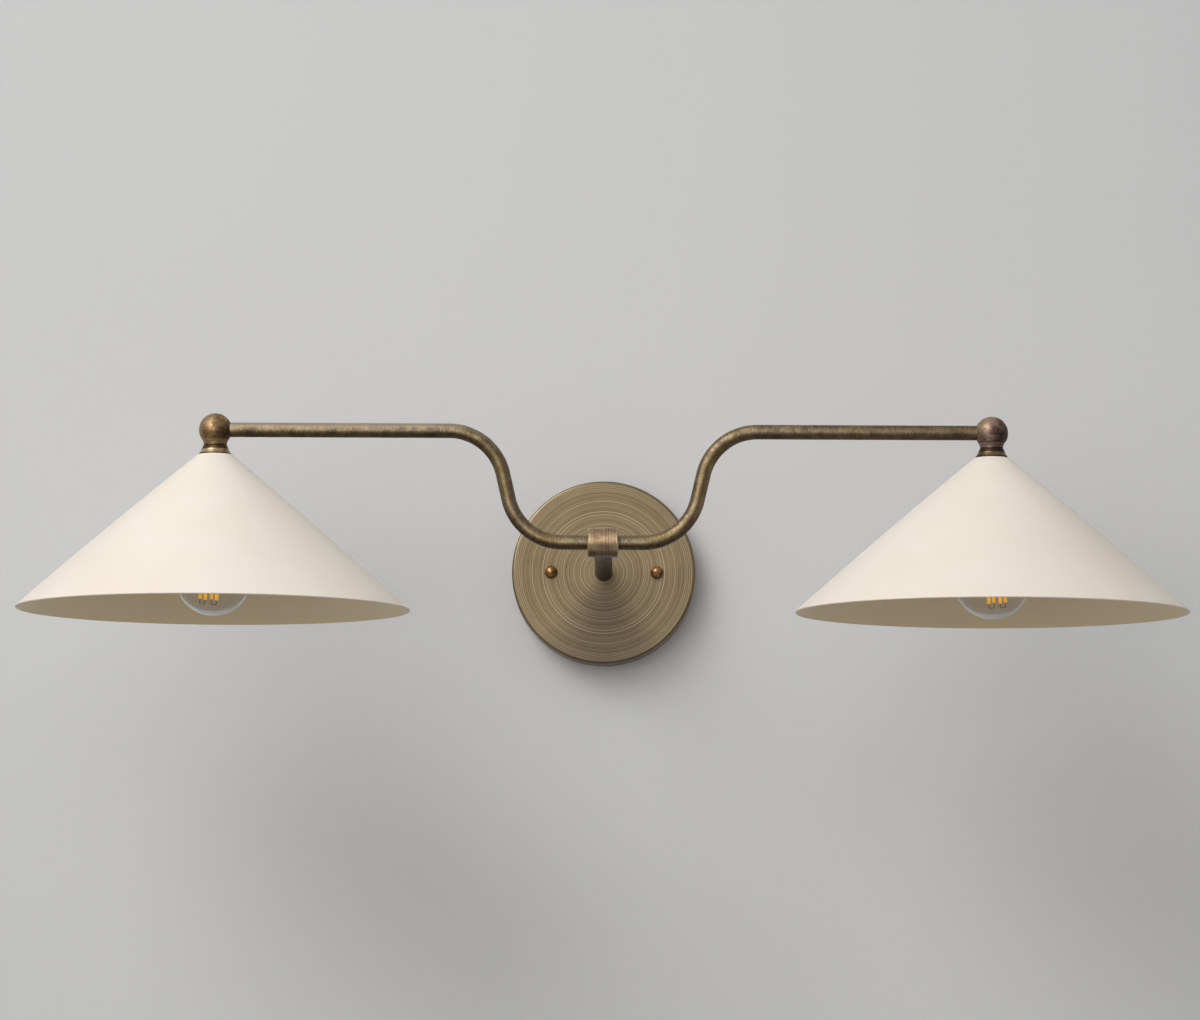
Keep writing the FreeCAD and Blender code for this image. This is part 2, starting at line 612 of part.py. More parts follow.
def screw_shell():
    """Threaded shell, with half a flange under the floor for the neutral terminal."""
    length = SOCKET_SLEEVE_LENGTH - SHELL_SETBACK
    shell = ring(SHELL_DIAMETER, SHELL_BORE, length)
    flange = ring(SHELL_DIAMETER, CONTACT_STRIP_WIDTH * 2, CONTACT_THICKNESS)
    reach = SHELL_DIAMETER / 2
    keep = block(vec(-reach, -reach, 0), vec(-CONTACT_STRIP_START, reach, CONTACT_THICKNESS))
    half_flange = placed(flange.common(keep), vec(0, 0, length - CONTACT_THICKNESS))
    return below_ball(shell.fuse(half_flange).removeSplitter(), FLOOR_UNDER - length)


def centre_contact():
    """Strip from the live terminal to the middle of the socket."""
    half = CONTACT_STRIP_WIDTH / 2
    end = TERMINAL_OFFSET + TERMINAL_SCREW_DIAMETER / 2
    strip = block(vec(-CONTACT_STRIP_START, -half, 0), vec(end, half, CONTACT_THICKNESS))
    return below_ball(strip, BULB_TIP)


def terminal_screws():
    head_seat = SOCKET_FLOOR + LEAD_HOLE
    head_top = head_seat + TERMINAL_HEAD_HEIGHT
    shank = TERMINAL_SCREW_DIAMETER / 2
    head = TERMINAL_HEAD_DIAMETER / 2
    screw = turned((0, 0), (shank, 0), (shank, head_seat), (head, head_seat), (head, head_top), (0, head_top))
    screw = slotted(screw, head_top, head)
    return Part.makeCompound([placed(screw, terminal_at(side) + vec(0, 0, FLOOR_UNDER))
                              for side in SIDES.values()])


# ---- Globe bulb, made along +Z from its tip and then hung upside down

def in_bulb(shape):
    return placed(shape, BALL_CENTRE + vec(0, 0, BULB_TIP), TO_BOTTOM)


def on_stem(shape):
    """A piece of the mount inside the globe, which leans outwards about the middle of the stem's disc."""
    pivot = vec(0, 0, GLASS_START + STEM_GLASS_DISC / 2)
    lean = FreeCAD.Placement(ORIGIN, FreeCAD.Rotation(AXIS_Y, STEM_GLASS_LEAN), pivot)
    leaning = shape.copy()
    leaning.Placement = lean.multiply(shape.Placement)
    return in_bulb(leaning)


def bulb_contact():
    tip = TIP_DIAMETER / 2
    return in_bulb(turned((0, 0), (tip, 0, TIP_ROUNDING), (tip, TIP_HEIGHT), (0, TIP_HEIGHT)))


def bulb_insulator():
    plug = BASE_BORE_RADIUS - NECK_FIT
    cone_end = TIP_HEIGHT + INSULATOR_CONE_HEIGHT
    return in_bulb(turned((0, TIP_HEIGHT), (INSULATOR_TOP_DIAMETER / 2, TIP_HEIGHT), (plug, cone_end),
                          (plug, cone_end + INSULATOR_DEPTH), (0, cone_end + INSULATOR_DEPTH)))


def bulb_screw_base():
    """Thin shell with rounded thread crests as rings and a plain skirt."""
    crest = BASE_CREST_DIAMETER / 2
    outline = [(BASE_BORE_RADIUS, BASE_START), (BASE_ROOT_RADIUS, BASE_START)]
    for turn in range(BASE_THREAD_TURNS):
        foot = BASE_START + turn * BASE_THREAD_PITCH
        outline.append((crest, foot + BASE_THREAD_PITCH / 2, BASE_THREAD_ROUNDING))
        outline.append((BASE_ROOT_RADIUS, foot + BASE_THREAD_PITCH, BASE_THREAD_ROUNDING))
    skirt_start = BASE_END - BASE_SKIRT_LENGTH / 2
    outline += [(crest, skirt_start), (crest, BASE_END), (BASE_BORE_RADIUS, BASE_END)]
    return in_bulb(turned(*outline))


def glass_edges(inset):
    """Outline of the globe and its neck, this far inside the outer face, from the neck's end to the pole."""
    neck = GLASS_NECK_RADIUS - inset
    globe = GLOBE_DIAMETER / 2 - inset
    fillet = NECK_FILLET + inset
    fillet_x = neck + fillet
    fillet_z = GLOBE_CENTRE - math.sqrt((globe + fillet) ** 2 - fillet_x ** 2)
    to_fillet = math.atan2(fillet_x, GLOBE_CENTRE - fillet_z)
    join = vec(globe * math.sin(to_fillet), 0, GLOBE_CENTRE - globe * math.cos(to_fillet))
    lean = (math.pi / 2 - to_fillet) / 2
    middle = vec(fillet_x - fillet * math.cos(lean), 0, fillet_z + fillet * math.sin(lean))
    pole = vec(0, 0, GLOBE_CENTRE + globe)
    side = vec(globe, 0, GLOBE_CENTRE)
    foot = vec(neck, 0, fillet_z)
    return vec(neck, 0, GLASS_START), pole, [
        Part.LineSegment(vec(neck, 0, GLASS_START), foot).toShape(),
        Part.Arc(foot, middle, join).toShape(),
        Part.Arc(join, side, pole).toShape(),
    ]


def bulb_glass():
    outer_end, outer_pole, outer = glass_edges(0)
    inner_end, inner_pole, inner = glass_edges(GLASS_WALL)
    pole_edge = Part.LineSegment(outer_pole, inner_pole).toShape()
    end_edge = Part.LineSegment(inner_end, outer_end).toShape()
    wire = Part.Wire(outer + [pole_edge] + inner[::-1] + [end_edge])
    return in_bulb(Part.Face(wire).revolve(ORIGIN, AXIS_Z, 360))


def bulb_stem_glass():
    """Flared disc that closes the neck, drawn out into a solid stem."""
    flare = GLASS_NECK_RADIUS - GLASS_WALL - WIRE_GAP
    disc_end = GLASS_START + STEM_GLASS_DISC
    stem = STEM_GLASS_DIAMETER / 2
    return on_stem(turned((0, GLASS_START), (flare, GLASS_START), (flare, disc_end),
                          (stem, disc_end + STEM_GLASS_FLARE_HEIGHT, STEM_GLASS_FLARE_HEIGHT),
                          (stem, STEM_GLASS_TIP), (0, STEM_GLASS_TIP)))


def filament_places(radius):
    """Points round the bulb's axis where the filaments stand, on a ring of this radius."""
    angles = [math.radians(FILAMENT_TURN + 360 / FILAMENT_COUNT * k) for k in range(FILAMENT_COUNT)]
    return [vec(radius * math.cos(angle), radius * math.sin(angle), 0) for angle in angles]


def bulb_filaments():
    bar = rod(FILAMENT_DIAMETER, FILAMENT_LENGTH)
    return Part.makeCompound([on_stem(placed(bar, place + vec(0, 0, FILAMENT_START)))
                              for place in filament_places(FILAMENT_RING_RADIUS)])


def bulb_support_wires():
    """A bent wire from the stem to each filament, and a link under each neighbouring pair."""
    bend = SUPPORT_BEND_RADIUS
    wires = []
    outer = filament_places(FILAMENT_RING_RADIUS)
    start = vec(0, 0, STEM_GLASS_TIP)
    top = vec(0, 0, FILAMENT_START)
    for near, far in zip(filament_places(SUPPORT_RING_RADIUS), outer):
        level = vec(0, 0, STEM_GLASS_TIP + SUPPORT_RISE)
        points = [near + start, near + level, far + level, far + top]
        wires.append(swept(SUPPORT_WIRE_DIAMETER, rounded_wire(points, [0, bend, bend, 0])))
    for first, second in zip(outer[1::2], outer[2::2] + outer[:1]):
        end = vec(0, 0, FILAMENT_END)
        level = vec(0, 0, FILAMENT_END + LINK_DROP)
        points = [first + end, first + level, second + level, second + end]
        wires.append(swept(SUPPORT_WIRE_DIAMETER, rounded_wire(points, [0, bend, bend, 0])))
    return Part.makeCompound([on_stem(wire) for wire in wires])


# ---- Leads from the connectors through the pipe, the tee, the arm and the ball to the socket

def offset_corner(corner, before, after, offset):
    """Corner of a path that runs parallel to another, this far to its left; before and after are normals."""
    scale = offset / (1 + before[0] * after[0] + before[1] * after[1])
    return corner[0] + scale * (before[0] + after[0]), corner[1] + scale * (before[1] + after[1])


def lead(side, lift):
    """One lead: lift is 1 for the live lead, which runs uppermost, and -1 for the neutral one."""
    offset = lift * LEAD_OFFSET
    turn = math.radians(ARM_BEND_ANGLE)
    up = (0, 1)
    slope = (-math.sin(turn), math.cos(turn))
    outward = (1, 0)
    lower, upper = arm_corners()[1:3]
    path = [
        offset_corner(lower, up, slope, offset),
        offset_corner(upper, slope, up, offset),
        offset_corner((HALF_SPAN, ARM_RISE), up, outward, offset),
        (HALF_SPAN + offset, ARM_RISE + TERMINAL_LEAD_HEIGHT),
        (HALF_SPAN + lift * (TERMINAL_OFFSET + LEAD_TAIL), ARM_RISE + TERMINAL_LEAD_HEIGHT),
    ]
    pipe_x = side * LEAD_OFFSET
    direction = -lift
    outer_lead = side != direction
    run = lift * (CONNECTOR_RISE + (LEAD_OFFSET if outer_lead else -LEAD_OFFSET))
    turn_in = LEAD_LOOP_RADIUS + (2 * LEAD_OFFSET if outer_lead else 0)
    points = [
        vec(direction * (CONNECTOR_START + LEAD_INSERT), LOOP_PLANE, run),
        vec(pipe_x, LOOP_PLANE, run),
        vec(pipe_x, LOOP_PLANE, offset),
        vec(pipe_x, LEAD_PLANE, offset),
    ]
    points += [vec(side * x, LEAD_PLANE, z) for x, z in path]
    radii = [0, turn_in, LEAD_LOOP_RADIUS, LEAD_TEE_RADIUS, ARM_BEND_RADIUS - offset,
             ARM_BEND_RADIUS + offset, LEAD_BALL_RADIUS + offset, LEAD_TERMINAL_RADIUS, 0]
    return swept(LEAD_DIAMETER, rounded_wire(points, radii))


def wall_pieces():
    plate_to_washer = PLATE_INSIDE - WASHER_THICKNESS
    return {
        "mounting_bracket": mounting_bracket(),
        "bracket_studs": at_studs(rod(STUD_DIAMETER, PLATE_DEPTH + STUD_PROUD), 0),
        "stud_locknuts": at_studs(hex_nut(STUD_NUT_FLATS, STUD_HOLE, STUD_NUT_HEIGHT), BRACKET_THICKNESS),
        "earth_screw": earth_screw(),
        "earth_ring": earth_ring(),
        "earth_lead": earth_lead(),
        "backplate": backplate(),
        "left_ball_nut": ball_nut(LEFT),
        "right_ball_nut": ball_nut(RIGHT),
        "live_connector": connector(LEFT),
        "neutral_connector": connector(RIGHT),
        "pipe_lock_washer": along_stem(ring(WASHER_DIAMETER, PIPE_HOLE, WASHER_THICKNESS), plate_to_washer),
        "pipe_locknut": pipe_locknut(),
        "stem_pipe": along_stem(ring(PIPE_DIAMETER, PIPE_BORE, PIPE_END - PIPE_START), PIPE_START),
        "stem_tube": along_stem(ring(STEM_DIAMETER, STEM_BORE, STEM_REACH - TEE_BOSS_REACH - PLATE_DEPTH),
                                PLATE_DEPTH),
        "tee_body": tee_body(),
    }


def head_pieces():
    """Everything from the arm outwards, for the right-hand side."""
    shade_nut = hex_nut(LOCKNUT_FLATS, PIPE_HOLE, LOCKNUT_HEIGHT)
    return {
        "arm": arm(),
        "arm_ball": arm_ball(),
        "shade_collar": shade_collar(),
        "shade": shade(),
        "head_nipple": head_nipple(),
        "shade_washer": shade_washer(),
        "shade_locknut": below_ball(shade_nut, CAP_TOP),
        "socket_cap": socket_cap(),
        "socket_body": socket_body(),
        "screw_shell": screw_shell(),
        "centre_contact": centre_contact(),
        "terminal_screws": terminal_screws(),
        "bulb_contact": bulb_contact(),
        "bulb_insulator": bulb_insulator(),
        "bulb_screw_base": bulb_screw_base(),
        "bulb_glass": bulb_glass(),
        "bulb_stem_glass": bulb_stem_glass(),
        "bulb_filaments": bulb_filaments(),
        "bulb_support_wires": bulb_support_wires(),
    }


nodes = wall_pieces()
right_hand = head_pieces()
for side_name, side_sign in SIDES.items():
    for piece_name, piece in right_hand.items():
        nodes[f"{side_name}_{piece_name}"] = on_side(piece, side_sign)
    nodes[f"{side_name}_live_lead"] = lead(side_sign, 1)
    nodes[f"{side_name}_neutral_lead"] = lead(side_sign, -1)

os.makedirs("parts", exist_ok=True)
for node_name, node_shape in nodes.items():
    node_shape.exportStep(f"parts/{node_name}.step")
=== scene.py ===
import math

import bmesh
import bpy
import numpy as np
from mathutils import Matrix, Vector


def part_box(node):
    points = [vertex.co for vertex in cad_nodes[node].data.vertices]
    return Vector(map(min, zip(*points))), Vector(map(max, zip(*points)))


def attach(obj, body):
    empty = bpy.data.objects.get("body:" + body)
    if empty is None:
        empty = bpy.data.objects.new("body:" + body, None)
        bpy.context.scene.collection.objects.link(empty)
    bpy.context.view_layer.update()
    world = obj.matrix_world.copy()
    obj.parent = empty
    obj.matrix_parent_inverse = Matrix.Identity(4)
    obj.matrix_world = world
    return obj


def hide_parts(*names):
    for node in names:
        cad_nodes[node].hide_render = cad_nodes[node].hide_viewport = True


# Double arm wall sconce with two cone shades, in metres. X runs along the arms, Y into the wall, Z up.

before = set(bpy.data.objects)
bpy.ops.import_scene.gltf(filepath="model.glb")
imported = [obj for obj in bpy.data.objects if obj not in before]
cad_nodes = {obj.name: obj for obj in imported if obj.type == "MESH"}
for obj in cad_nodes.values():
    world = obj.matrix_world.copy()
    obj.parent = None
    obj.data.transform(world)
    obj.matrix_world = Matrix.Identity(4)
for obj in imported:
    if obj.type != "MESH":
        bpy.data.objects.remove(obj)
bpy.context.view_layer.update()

MM = 0.001
TAU = 2 * math.pi
SIDES = {"left": -1, "right": 1}

# Driving sizes, as the solids have them
HALF_SPAN = 251.0 * MM
STEM_REACH = 241.5 * MM
ARM_RISE = 72.2 * MM
ARM_RADIUS = 4.75 * MM
ARM_WALL = 1.0 * MM
ARM_START = 5.0 * MM
ARM_END = 245.5 * MM
ARM_INNER_RUN = 25.9 * MM
ARM_BEND_RADIUS = 36.0 * MM
ARM_BEND_ANGLE = math.radians(77.0)
ARM_MAP_LENGTH = 0.62
TEE_LENGTH = 20.0 * MM
TEE_CHAMFER = 0.6 * MM
NECK_SEAM_DROP = 6.2 * MM
NECK_WAIST_DROP = 8.0 * MM
NECK_GROOVE_DROP = 10.4 * MM
NECK_END_DROP = 12.1 * MM
COLLAR_COVE_DROP = 1.9 * MM
SHADE_TOP_RADIUS = 10.9 * MM
SHADE_RIM_RADIUS = 127.0 * MM
SHADE_HEIGHT = 100.2 * MM
SHADE_WALL = 1.0 * MM
SHADE_HOLE = 5.3 * MM
SHADE_SHOULDER = 2.0 * MM
SHADE_CROWN_RADIUS = 3500.0 * MM
SHADE_CROWN_SHARE = 0.9
RIM_ROUNDING = 0.3 * MM
GLOBE_RADIUS = 25.0 * MM
GLASS_WALL = 0.7 * MM
GLASS_NECK_RADIUS = 11.75 * MM
GLASS_FILLET = 12.0 * MM
BASE_ROOT = 12.3 * MM
BASE_CREST = 12.95 * MM
BASE_BORE = 11.9 * MM
BASE_PITCH = 3.6 * MM
BASE_LIP = 2.4 * MM
BASE_THREAD_START = 2.6 * MM
BASE_FADE_IN = 1.5 * MM
BASE_FADE_OUT = 2.0 * MM
FILAMENTS = 4
FILAMENT_RADIUS = 1.1 * MM
FILAMENT_LENGTH = 27.0 * MM
FILAMENT_ROUNDING = 0.5 * MM
FILAMENT_DROP = 46.4 * MM
FILAMENT_RING = 5.7 * MM
FILAMENT_TURN = math.radians(26.0)
STEM_GLASS_DROP = 20.8 * MM
STEM_GLASS_LEAN = math.radians(3.6)
TAB_RADIUS = 0.45 * MM
TAB_LENGTH = 0.6 * MM
TAB_SHARE = 0.14
CONNECTOR_COLLAR = 5.0 * MM
CONNECTOR_MOUTH = 6.0 * MM
CONNECTOR_TIP = 4.2 * MM
CONNECTOR_BORE = 2.65 * MM
CONNECTOR_DEPTH = 15.0 * MM
CONNECTOR_MOUTH_ROUNDING = 0.4 * MM
CONNECTOR_TIP_ROUNDING = 1.2 * MM
RIBS = 14
RIB_DEPTH = 0.55 * MM
RIB_FADE = 1.5 * MM
RIB_LEAST_RADIUS = 3.2 * MM
RIB_EDGE_FADE = 0.5 * MM

# How finely the meshes are divided round each piece and along it
SHADE_COLUMNS = 288
SHADE_SPACING = 8.0 * MM
ARM_COLUMNS = 48
ARM_ROWS = 240
GLASS_COLUMNS = 128
GLOBE_ROWS = 56
GLASS_FILLET_ROWS = 16
BASE_COLUMNS = 96
BASE_ROWS = 120
FILAMENT_COLUMNS = 24
CONNECTOR_COLUMNS = 112
CONNECTOR_SPACING = 0.8 * MM
SHARP_EDGE = math.radians(35.0)
WELD_DISTANCE = 1e-7

# Camera fitted to the photo: its place, its turns in radians and its lens in millimetres
CAMERA_PLACE = (9.6, -3279.8, -287.1)
CAMERA_YAW = 0.0038
CAMERA_PITCH = 0.1011
CAMERA_ROLL = -0.0049
CAMERA_LENS = 141.88
CAMERA_SENSOR = 36.0

# Studio
BOX_HOLE_RADIUS = 57.0 * MM
SWEEP_RADIUS = 0.8
SWEEP_FLOOR = -3.0
SWEEP_TOP = 4.0
SWEEP_FRONT = -8.0
SWEEP_HALF_WIDTH = 6.0
SWEEP_BEND_ROWS = 24
SWEEP_GAP = 0.6 * MM
ROOM_BELOW = 0.03
ROOM_HORIZON = 0.2
ROOM_HORIZON_PLACE = 0.45
ROOM_ABOVE = 0.62


def add_object(name, data):
    thing = bpy.data.objects.new(name, data)
    bpy.context.scene.collection.objects.link(thing)
    return thing


# ---- Camera, where the photographer stood

def aim_camera(place, yaw, pitch, roll):
    """A level camera looking along +Y, turned by yaw about Z, raised by pitch and rolled about its view."""
    data = bpy.data.cameras.new("camera")
    data.sensor_width = CAMERA_SENSOR
    data.lens = CAMERA_LENS
    camera = add_object("camera", data)
    across = Vector((math.cos(yaw), math.sin(yaw), 0))
    ahead = Vector((-math.sin(yaw) * math.cos(pitch), math.cos(yaw) * math.cos(pitch), math.sin(pitch)))
    upward = across.cross(ahead)
    right = across * math.cos(roll) - upward * math.sin(roll)
    top = across * math.sin(roll) + upward * math.cos(roll)
    turn = Matrix((right, top, -ahead)).transposed().to_4x4()
    camera.matrix_world = Matrix.Translation(place) @ turn
    bpy.context.scene.camera = camera


aim_camera(Vector(CAMERA_PLACE) * MM, CAMERA_YAW, CAMERA_PITCH, CAMERA_ROLL)


# ---- Surfaces

def rounded_corners(corners, steps):
    """Points along straight runs through (a, b, radius) corners, in two dimensions.

    A corner of radius r between unit directions d and e becomes this many steps of the circle that touches
    both runs: its centre is r / cos(turn / 2) away towards e - d. One without a radius stays a point."""
    pieces = []
    for before, corner, after in zip(corners[-1:] + corners[:-1], corners, corners[1:] + corners[:1]):
        at = np.array(corner[:2], float)
        if len(corner) < 3:
            pieces.append(at[None])
            continue
        into = at - np.array(before[:2], float)
        out = np.array(after[:2], float) - at
        into = into / np.linalg.norm(into)
        out = out / np.linalg.norm(out)
        turn = math.acos(np.clip(into @ out, -1, 1))
        inward = (out - into) / np.linalg.norm(out - into)
        centre = at + inward * corner[2] / math.cos(turn / 2)
        swing = np.linspace(-turn / 2, turn / 2, steps)[:, None]
        middle = (into + out) / np.linalg.norm(into + out)
        pieces.append(centre + corner[2] * (np.sin(swing) * middle - np.cos(swing) * inward))
    return np.concatenate(pieces)


def make_piece(name, points, finish, along_closed=False):
    """Mesh over a grid of points: rows run along the piece, columns go once round it without a repeated seam.

    Point (i, j) joins (i + 1, j) and (i, j + 1). A row whose points coincide is a pole and becomes one
    vertex. The map's u is j / columns and its v is i over the number of steps between rows."""
    rows, columns = points.shape[:2]
    last = rows if along_closed else rows - 1
    i, j = np.meshgrid(np.arange(last), np.arange(columns), indexing="ij")
    below = (i + 1) % rows
    beside = (j + 1) % columns
    rings = [(i, j), (below, j), (below, beside), (i, beside)]
    quads = np.stack([row * columns + column for row, column in rings], -1).reshape(-1, 4)
    u = np.stack([j, j, j + 1, j + 1], -1) / columns
    v = np.stack([i, i + 1, i + 1, i], -1) / last
    return build_mesh(name, points.reshape(-1, 3), quads, np.stack([u, v], -1).reshape(-1, 4, 2), finish)


def build_mesh(name, points, quads, uv, finish):
    """Smooth object of quads whose faces look outwards.

    The sign of the volume, the sum over the triangles of a . (b x c) / 6, tells whether to turn them."""
    a, b, c, d = (points[quads[:, k]] for k in range(4))
    volume = np.einsum("ij,ij", a, np.cross(b, c)) + np.einsum("ij,ij", a, np.cross(c, d))
    if volume < 0:
        quads = quads[:, ::-1]
        uv = uv[:, ::-1]
    mesh = bpy.data.meshes.new(name)
    mesh.from_pydata(points.tolist(), [], quads.tolist())
    mesh.uv_layers.new(name="map").data.foreach_set("uv", uv.astype(np.float32).ravel())
    weld(mesh)
    mesh.polygons.foreach_set("use_smooth", np.ones(len(mesh.polygons), bool))
    mesh.set_sharp_from_angle(angle=SHARP_EDGE)
    mesh.materials.append(finish)
    return add_object(name, mesh)


def weld(mesh):
    """Merges the points of each pole."""
    work = bmesh.new()
    work.from_mesh(mesh)
    bmesh.ops.remove_doubles(work, verts=work.verts, dist=WELD_DISTANCE)
    work.to_mesh(mesh)
    work.free()


def turned(profile, columns):
    """Grid of a profile of (radius, height) turned about Z: (r cos t, r sin t, z)."""
    angle = np.arange(columns) / columns * TAU
    radius = profile[:, :1]
    height = np.broadcast_to(profile[:, 1:], (len(profile), columns))
    return np.stack([radius * np.cos(angle), radius * np.sin(angle), height], -1)


def close_rows(profile, spacing):
    """The profile with points added on its long runs, so that no row is longer than the spacing."""
    steps = np.linalg.norm(np.diff(profile, axis=0), axis=1)
    counts = np.maximum(1, np.ceil(steps / spacing)).astype(int)
    whole = np.concatenate([[0], np.cumsum(counts)])
    at = np.arange(whole[-1] + 1)
    return np.stack([np.interp(at, whole, profile[:, k]) for k in range(profile.shape[1])], -1)


# ---- Finishes

class Wire:
    """A socket that a node gives out. Arithmetic on its number adds Math nodes."""

    def __init__(self, finish, socket):
        self.finish = finish
        self.socket = socket

    def maths(self, operation, *values):
        return self.finish.node("ShaderNodeMath", {"operation": operation}, dict(enumerate(values)))

    def __add__(self, other):
        return self.maths("ADD", self, other)

    __radd__ = __add__

    def __sub__(self, other):
        return self.maths("SUBTRACT", self, other)

    def __rsub__(self, other):
        return self.maths("SUBTRACT", other, self)

    def __neg__(self):
        return 0 - self

    def __mul__(self, other):
        return self.maths("MULTIPLY", self, other)

    def __truediv__(self, other):
        return self.maths("DIVIDE", self, other)

    def root(self):
        return self.maths("SQRT", self)

    def above(self, edge, softness):
        """0 below the edge and 1 above it, changing over the softness."""
        settings = {"interpolation_type": "SMOOTHSTEP"}
        limits = {"Value": self, "From Min": edge - softness / 2, "From Max": edge + softness / 2}
        return self.finish.node("ShaderNodeMapRange", settings, limits)

    def near(self, centre, reach, softness):
        """1 within this reach of the centre and 0 beyond it, changing over the softness."""
        away = self - centre
        return 1 - away.maths("ABSOLUTE", away).above(reach, softness)


class Finish:
    """One surface finish: a material whose Principled shader is fed by the nodes made here."""

    def __init__(self, name, **constants):
        self.material = bpy.data.materials.new(name)
        self.material.use_nodes = True
        self.tree = self.material.node_tree
        self.shader = self.tree.nodes["Principled BSDF"]
        self.feed(**constants)

    def node(self, kind, settings=None, values=None, result=0):
        """Adds a node: its settings, then values or wires for its sockets by name, identifier or place."""
        made = self.tree.nodes.new(kind)
        for key, value in (settings or {}).items():
            setattr(made, key, value)
        for key, value in (values or {}).items():
            self.put(self.socket(made.inputs, key), value)
        return Wire(self, self.socket(made.outputs, result))

    def socket(self, sockets, key):
        """The socket at a place, or the first one with this identifier or name."""
        if isinstance(key, int):
            return sockets[key]
        return next(socket for socket in sockets if key in (socket.identifier, socket.name))

    def put(self, socket, value):
        """Links a wire to the socket, or sets the socket's own value."""
        if isinstance(value, Wire):
            self.tree.links.new(value.socket, socket)
        else:
            socket.default_value = value

    def feed(self, **values):
        """Sets the shader's own sockets; Base_Color stands for Base Color."""
        for key, value in values.items():
            self.put(self.shader.inputs[key.replace("_", " ")], value)

    def place(self, centre=(0, 0, 0), stretch=(1, 1, 1)):
        """Object coordinates about a centre, stretched along each axis."""
        coordinates = self.node("ShaderNodeTexCoord", result="Object")
        moved = self.node("ShaderNodeVectorMath", {"operation": "SUBTRACT"}, {0: coordinates, 1: centre})
        return self.node("ShaderNodeVectorMath", {"operation": "MULTIPLY"}, {0: moved, 1: stretch})

    def map(self):
        """The map's two numbers: u round a piece and v along it."""
        return self.parts(self.node("ShaderNodeTexCoord", result="UV"))[:2]

    def parts(self, vector):
        """The three numbers of a vector."""
        return [self.node("ShaderNodeSeparateXYZ", None, {0: vector}, axis) for axis in range(3)]

    def join(self, x, y, z):
        """The vector of three numbers."""
        return self.node("ShaderNodeCombineXYZ", None, {0: x, 1: y, 2: z})

    def noise(self, vector, scale, detail=3.0, roughness=0.55):
        """Noise through space, with this many patterns to a metre."""
        values = {"Vector": vector, "Scale": scale, "Detail": detail, "Roughness": roughness}
        return self.node("ShaderNodeTexNoise", None, values)

    def line_noise(self, number, scale, detail=3.0, roughness=0.55):
        """The same along one number."""
        values = {"W": number, "Scale": scale, "Detail": detail, "Roughness": roughness}
        return self.node("ShaderNodeTexNoise", {"noise_dimensions": "1D"}, values)

    def blend(self, share, first, second, how="MIX"):
        """The first colour at a share of 0 and the second one at 1, or the first one multiplied by it."""
        settings = {"data_type": "RGBA", "blend_type": how}
        values = {"Factor_Float": share, "A_Color": first, "B_Color": second}
        return self.node("ShaderNodeMix", settings, values, "Result_Color")

    def bump(self, height, depth):
        """Feeds the normal with a relief this deep where the height runs from 0 to 1."""
        self.feed(Normal=self.node("ShaderNodeBump", None, {"Height": height, "Distance": depth}))


def colour(red, green, blue):
    """Display values from 0 to 255 as linear light."""
    values = np.array([red, green, blue]) / 255
    linear = np.where(values <= 0.04045, values / 12.92, ((values + 0.055) / 1.055) ** 2.4)
    return (*linear.tolist(), 1.0)


def turned_brass_plate():
    """Antique brass spun against a tool: fine rings about the plate's centre that run on down its side.

    The rings vary with radius + depth, and wander a little off centre. Over them lie thin cut lines, some
    bright and some dark, a patina in soft patches, and a darker fan of painted shade below the stem."""
    finish = Finish("turned_antique_brass", Metallic=1.0)
    x, y, z = finish.parts(finish.place())
    radius = (x * x + z * z).root()
    patches = finish.noise(finish.place(), 30.0)
    ring = radius - y + patches * 0.5 * MM
    tool = finish.line_noise(ring, 950.0, roughness=0.7)
    hair = finish.line_noise(ring, 3100.0, detail=2.0, roughness=0.7)
    bright_cut = finish.line_noise(ring + 0.2, 1500.0, detail=1.0).above(0.64, 0.14)
    dark_cut = finish.line_noise(ring + 0.5, 1350.0, detail=1.0).above(0.64, 0.14)
    worn = (tool * 0.5 + hair * 0.25 + patches * 0.25).above(0.5, 0.4)
    tan = finish.blend(worn, colour(110, 95, 72), colour(141, 124, 97))
    tan = finish.blend(bright_cut * 0.55, tan, colour(198, 180, 149))
    tan = finish.blend(dark_cut * 0.5, tan, colour(74, 60, 42))
    # Painted shade: a darker fan below the stem.
    painted_shade_fan = (-z / (radius + MM)).above(0.84, 0.44) * radius.above(10 * MM, 14 * MM)
    tan = finish.blend(painted_shade_fan * 0.85, tan, (0.5, 0.51, 0.6, 1), "MULTIPLY")
    finish.feed(Base_Color=tan, Roughness=0.4 - worn * 0.08)
    finish.bump(tool * 0.5 + hair * 0.3 + bright_cut * 0.1 - dark_cut * 0.1, 0.1 * MM)
    return finish.material


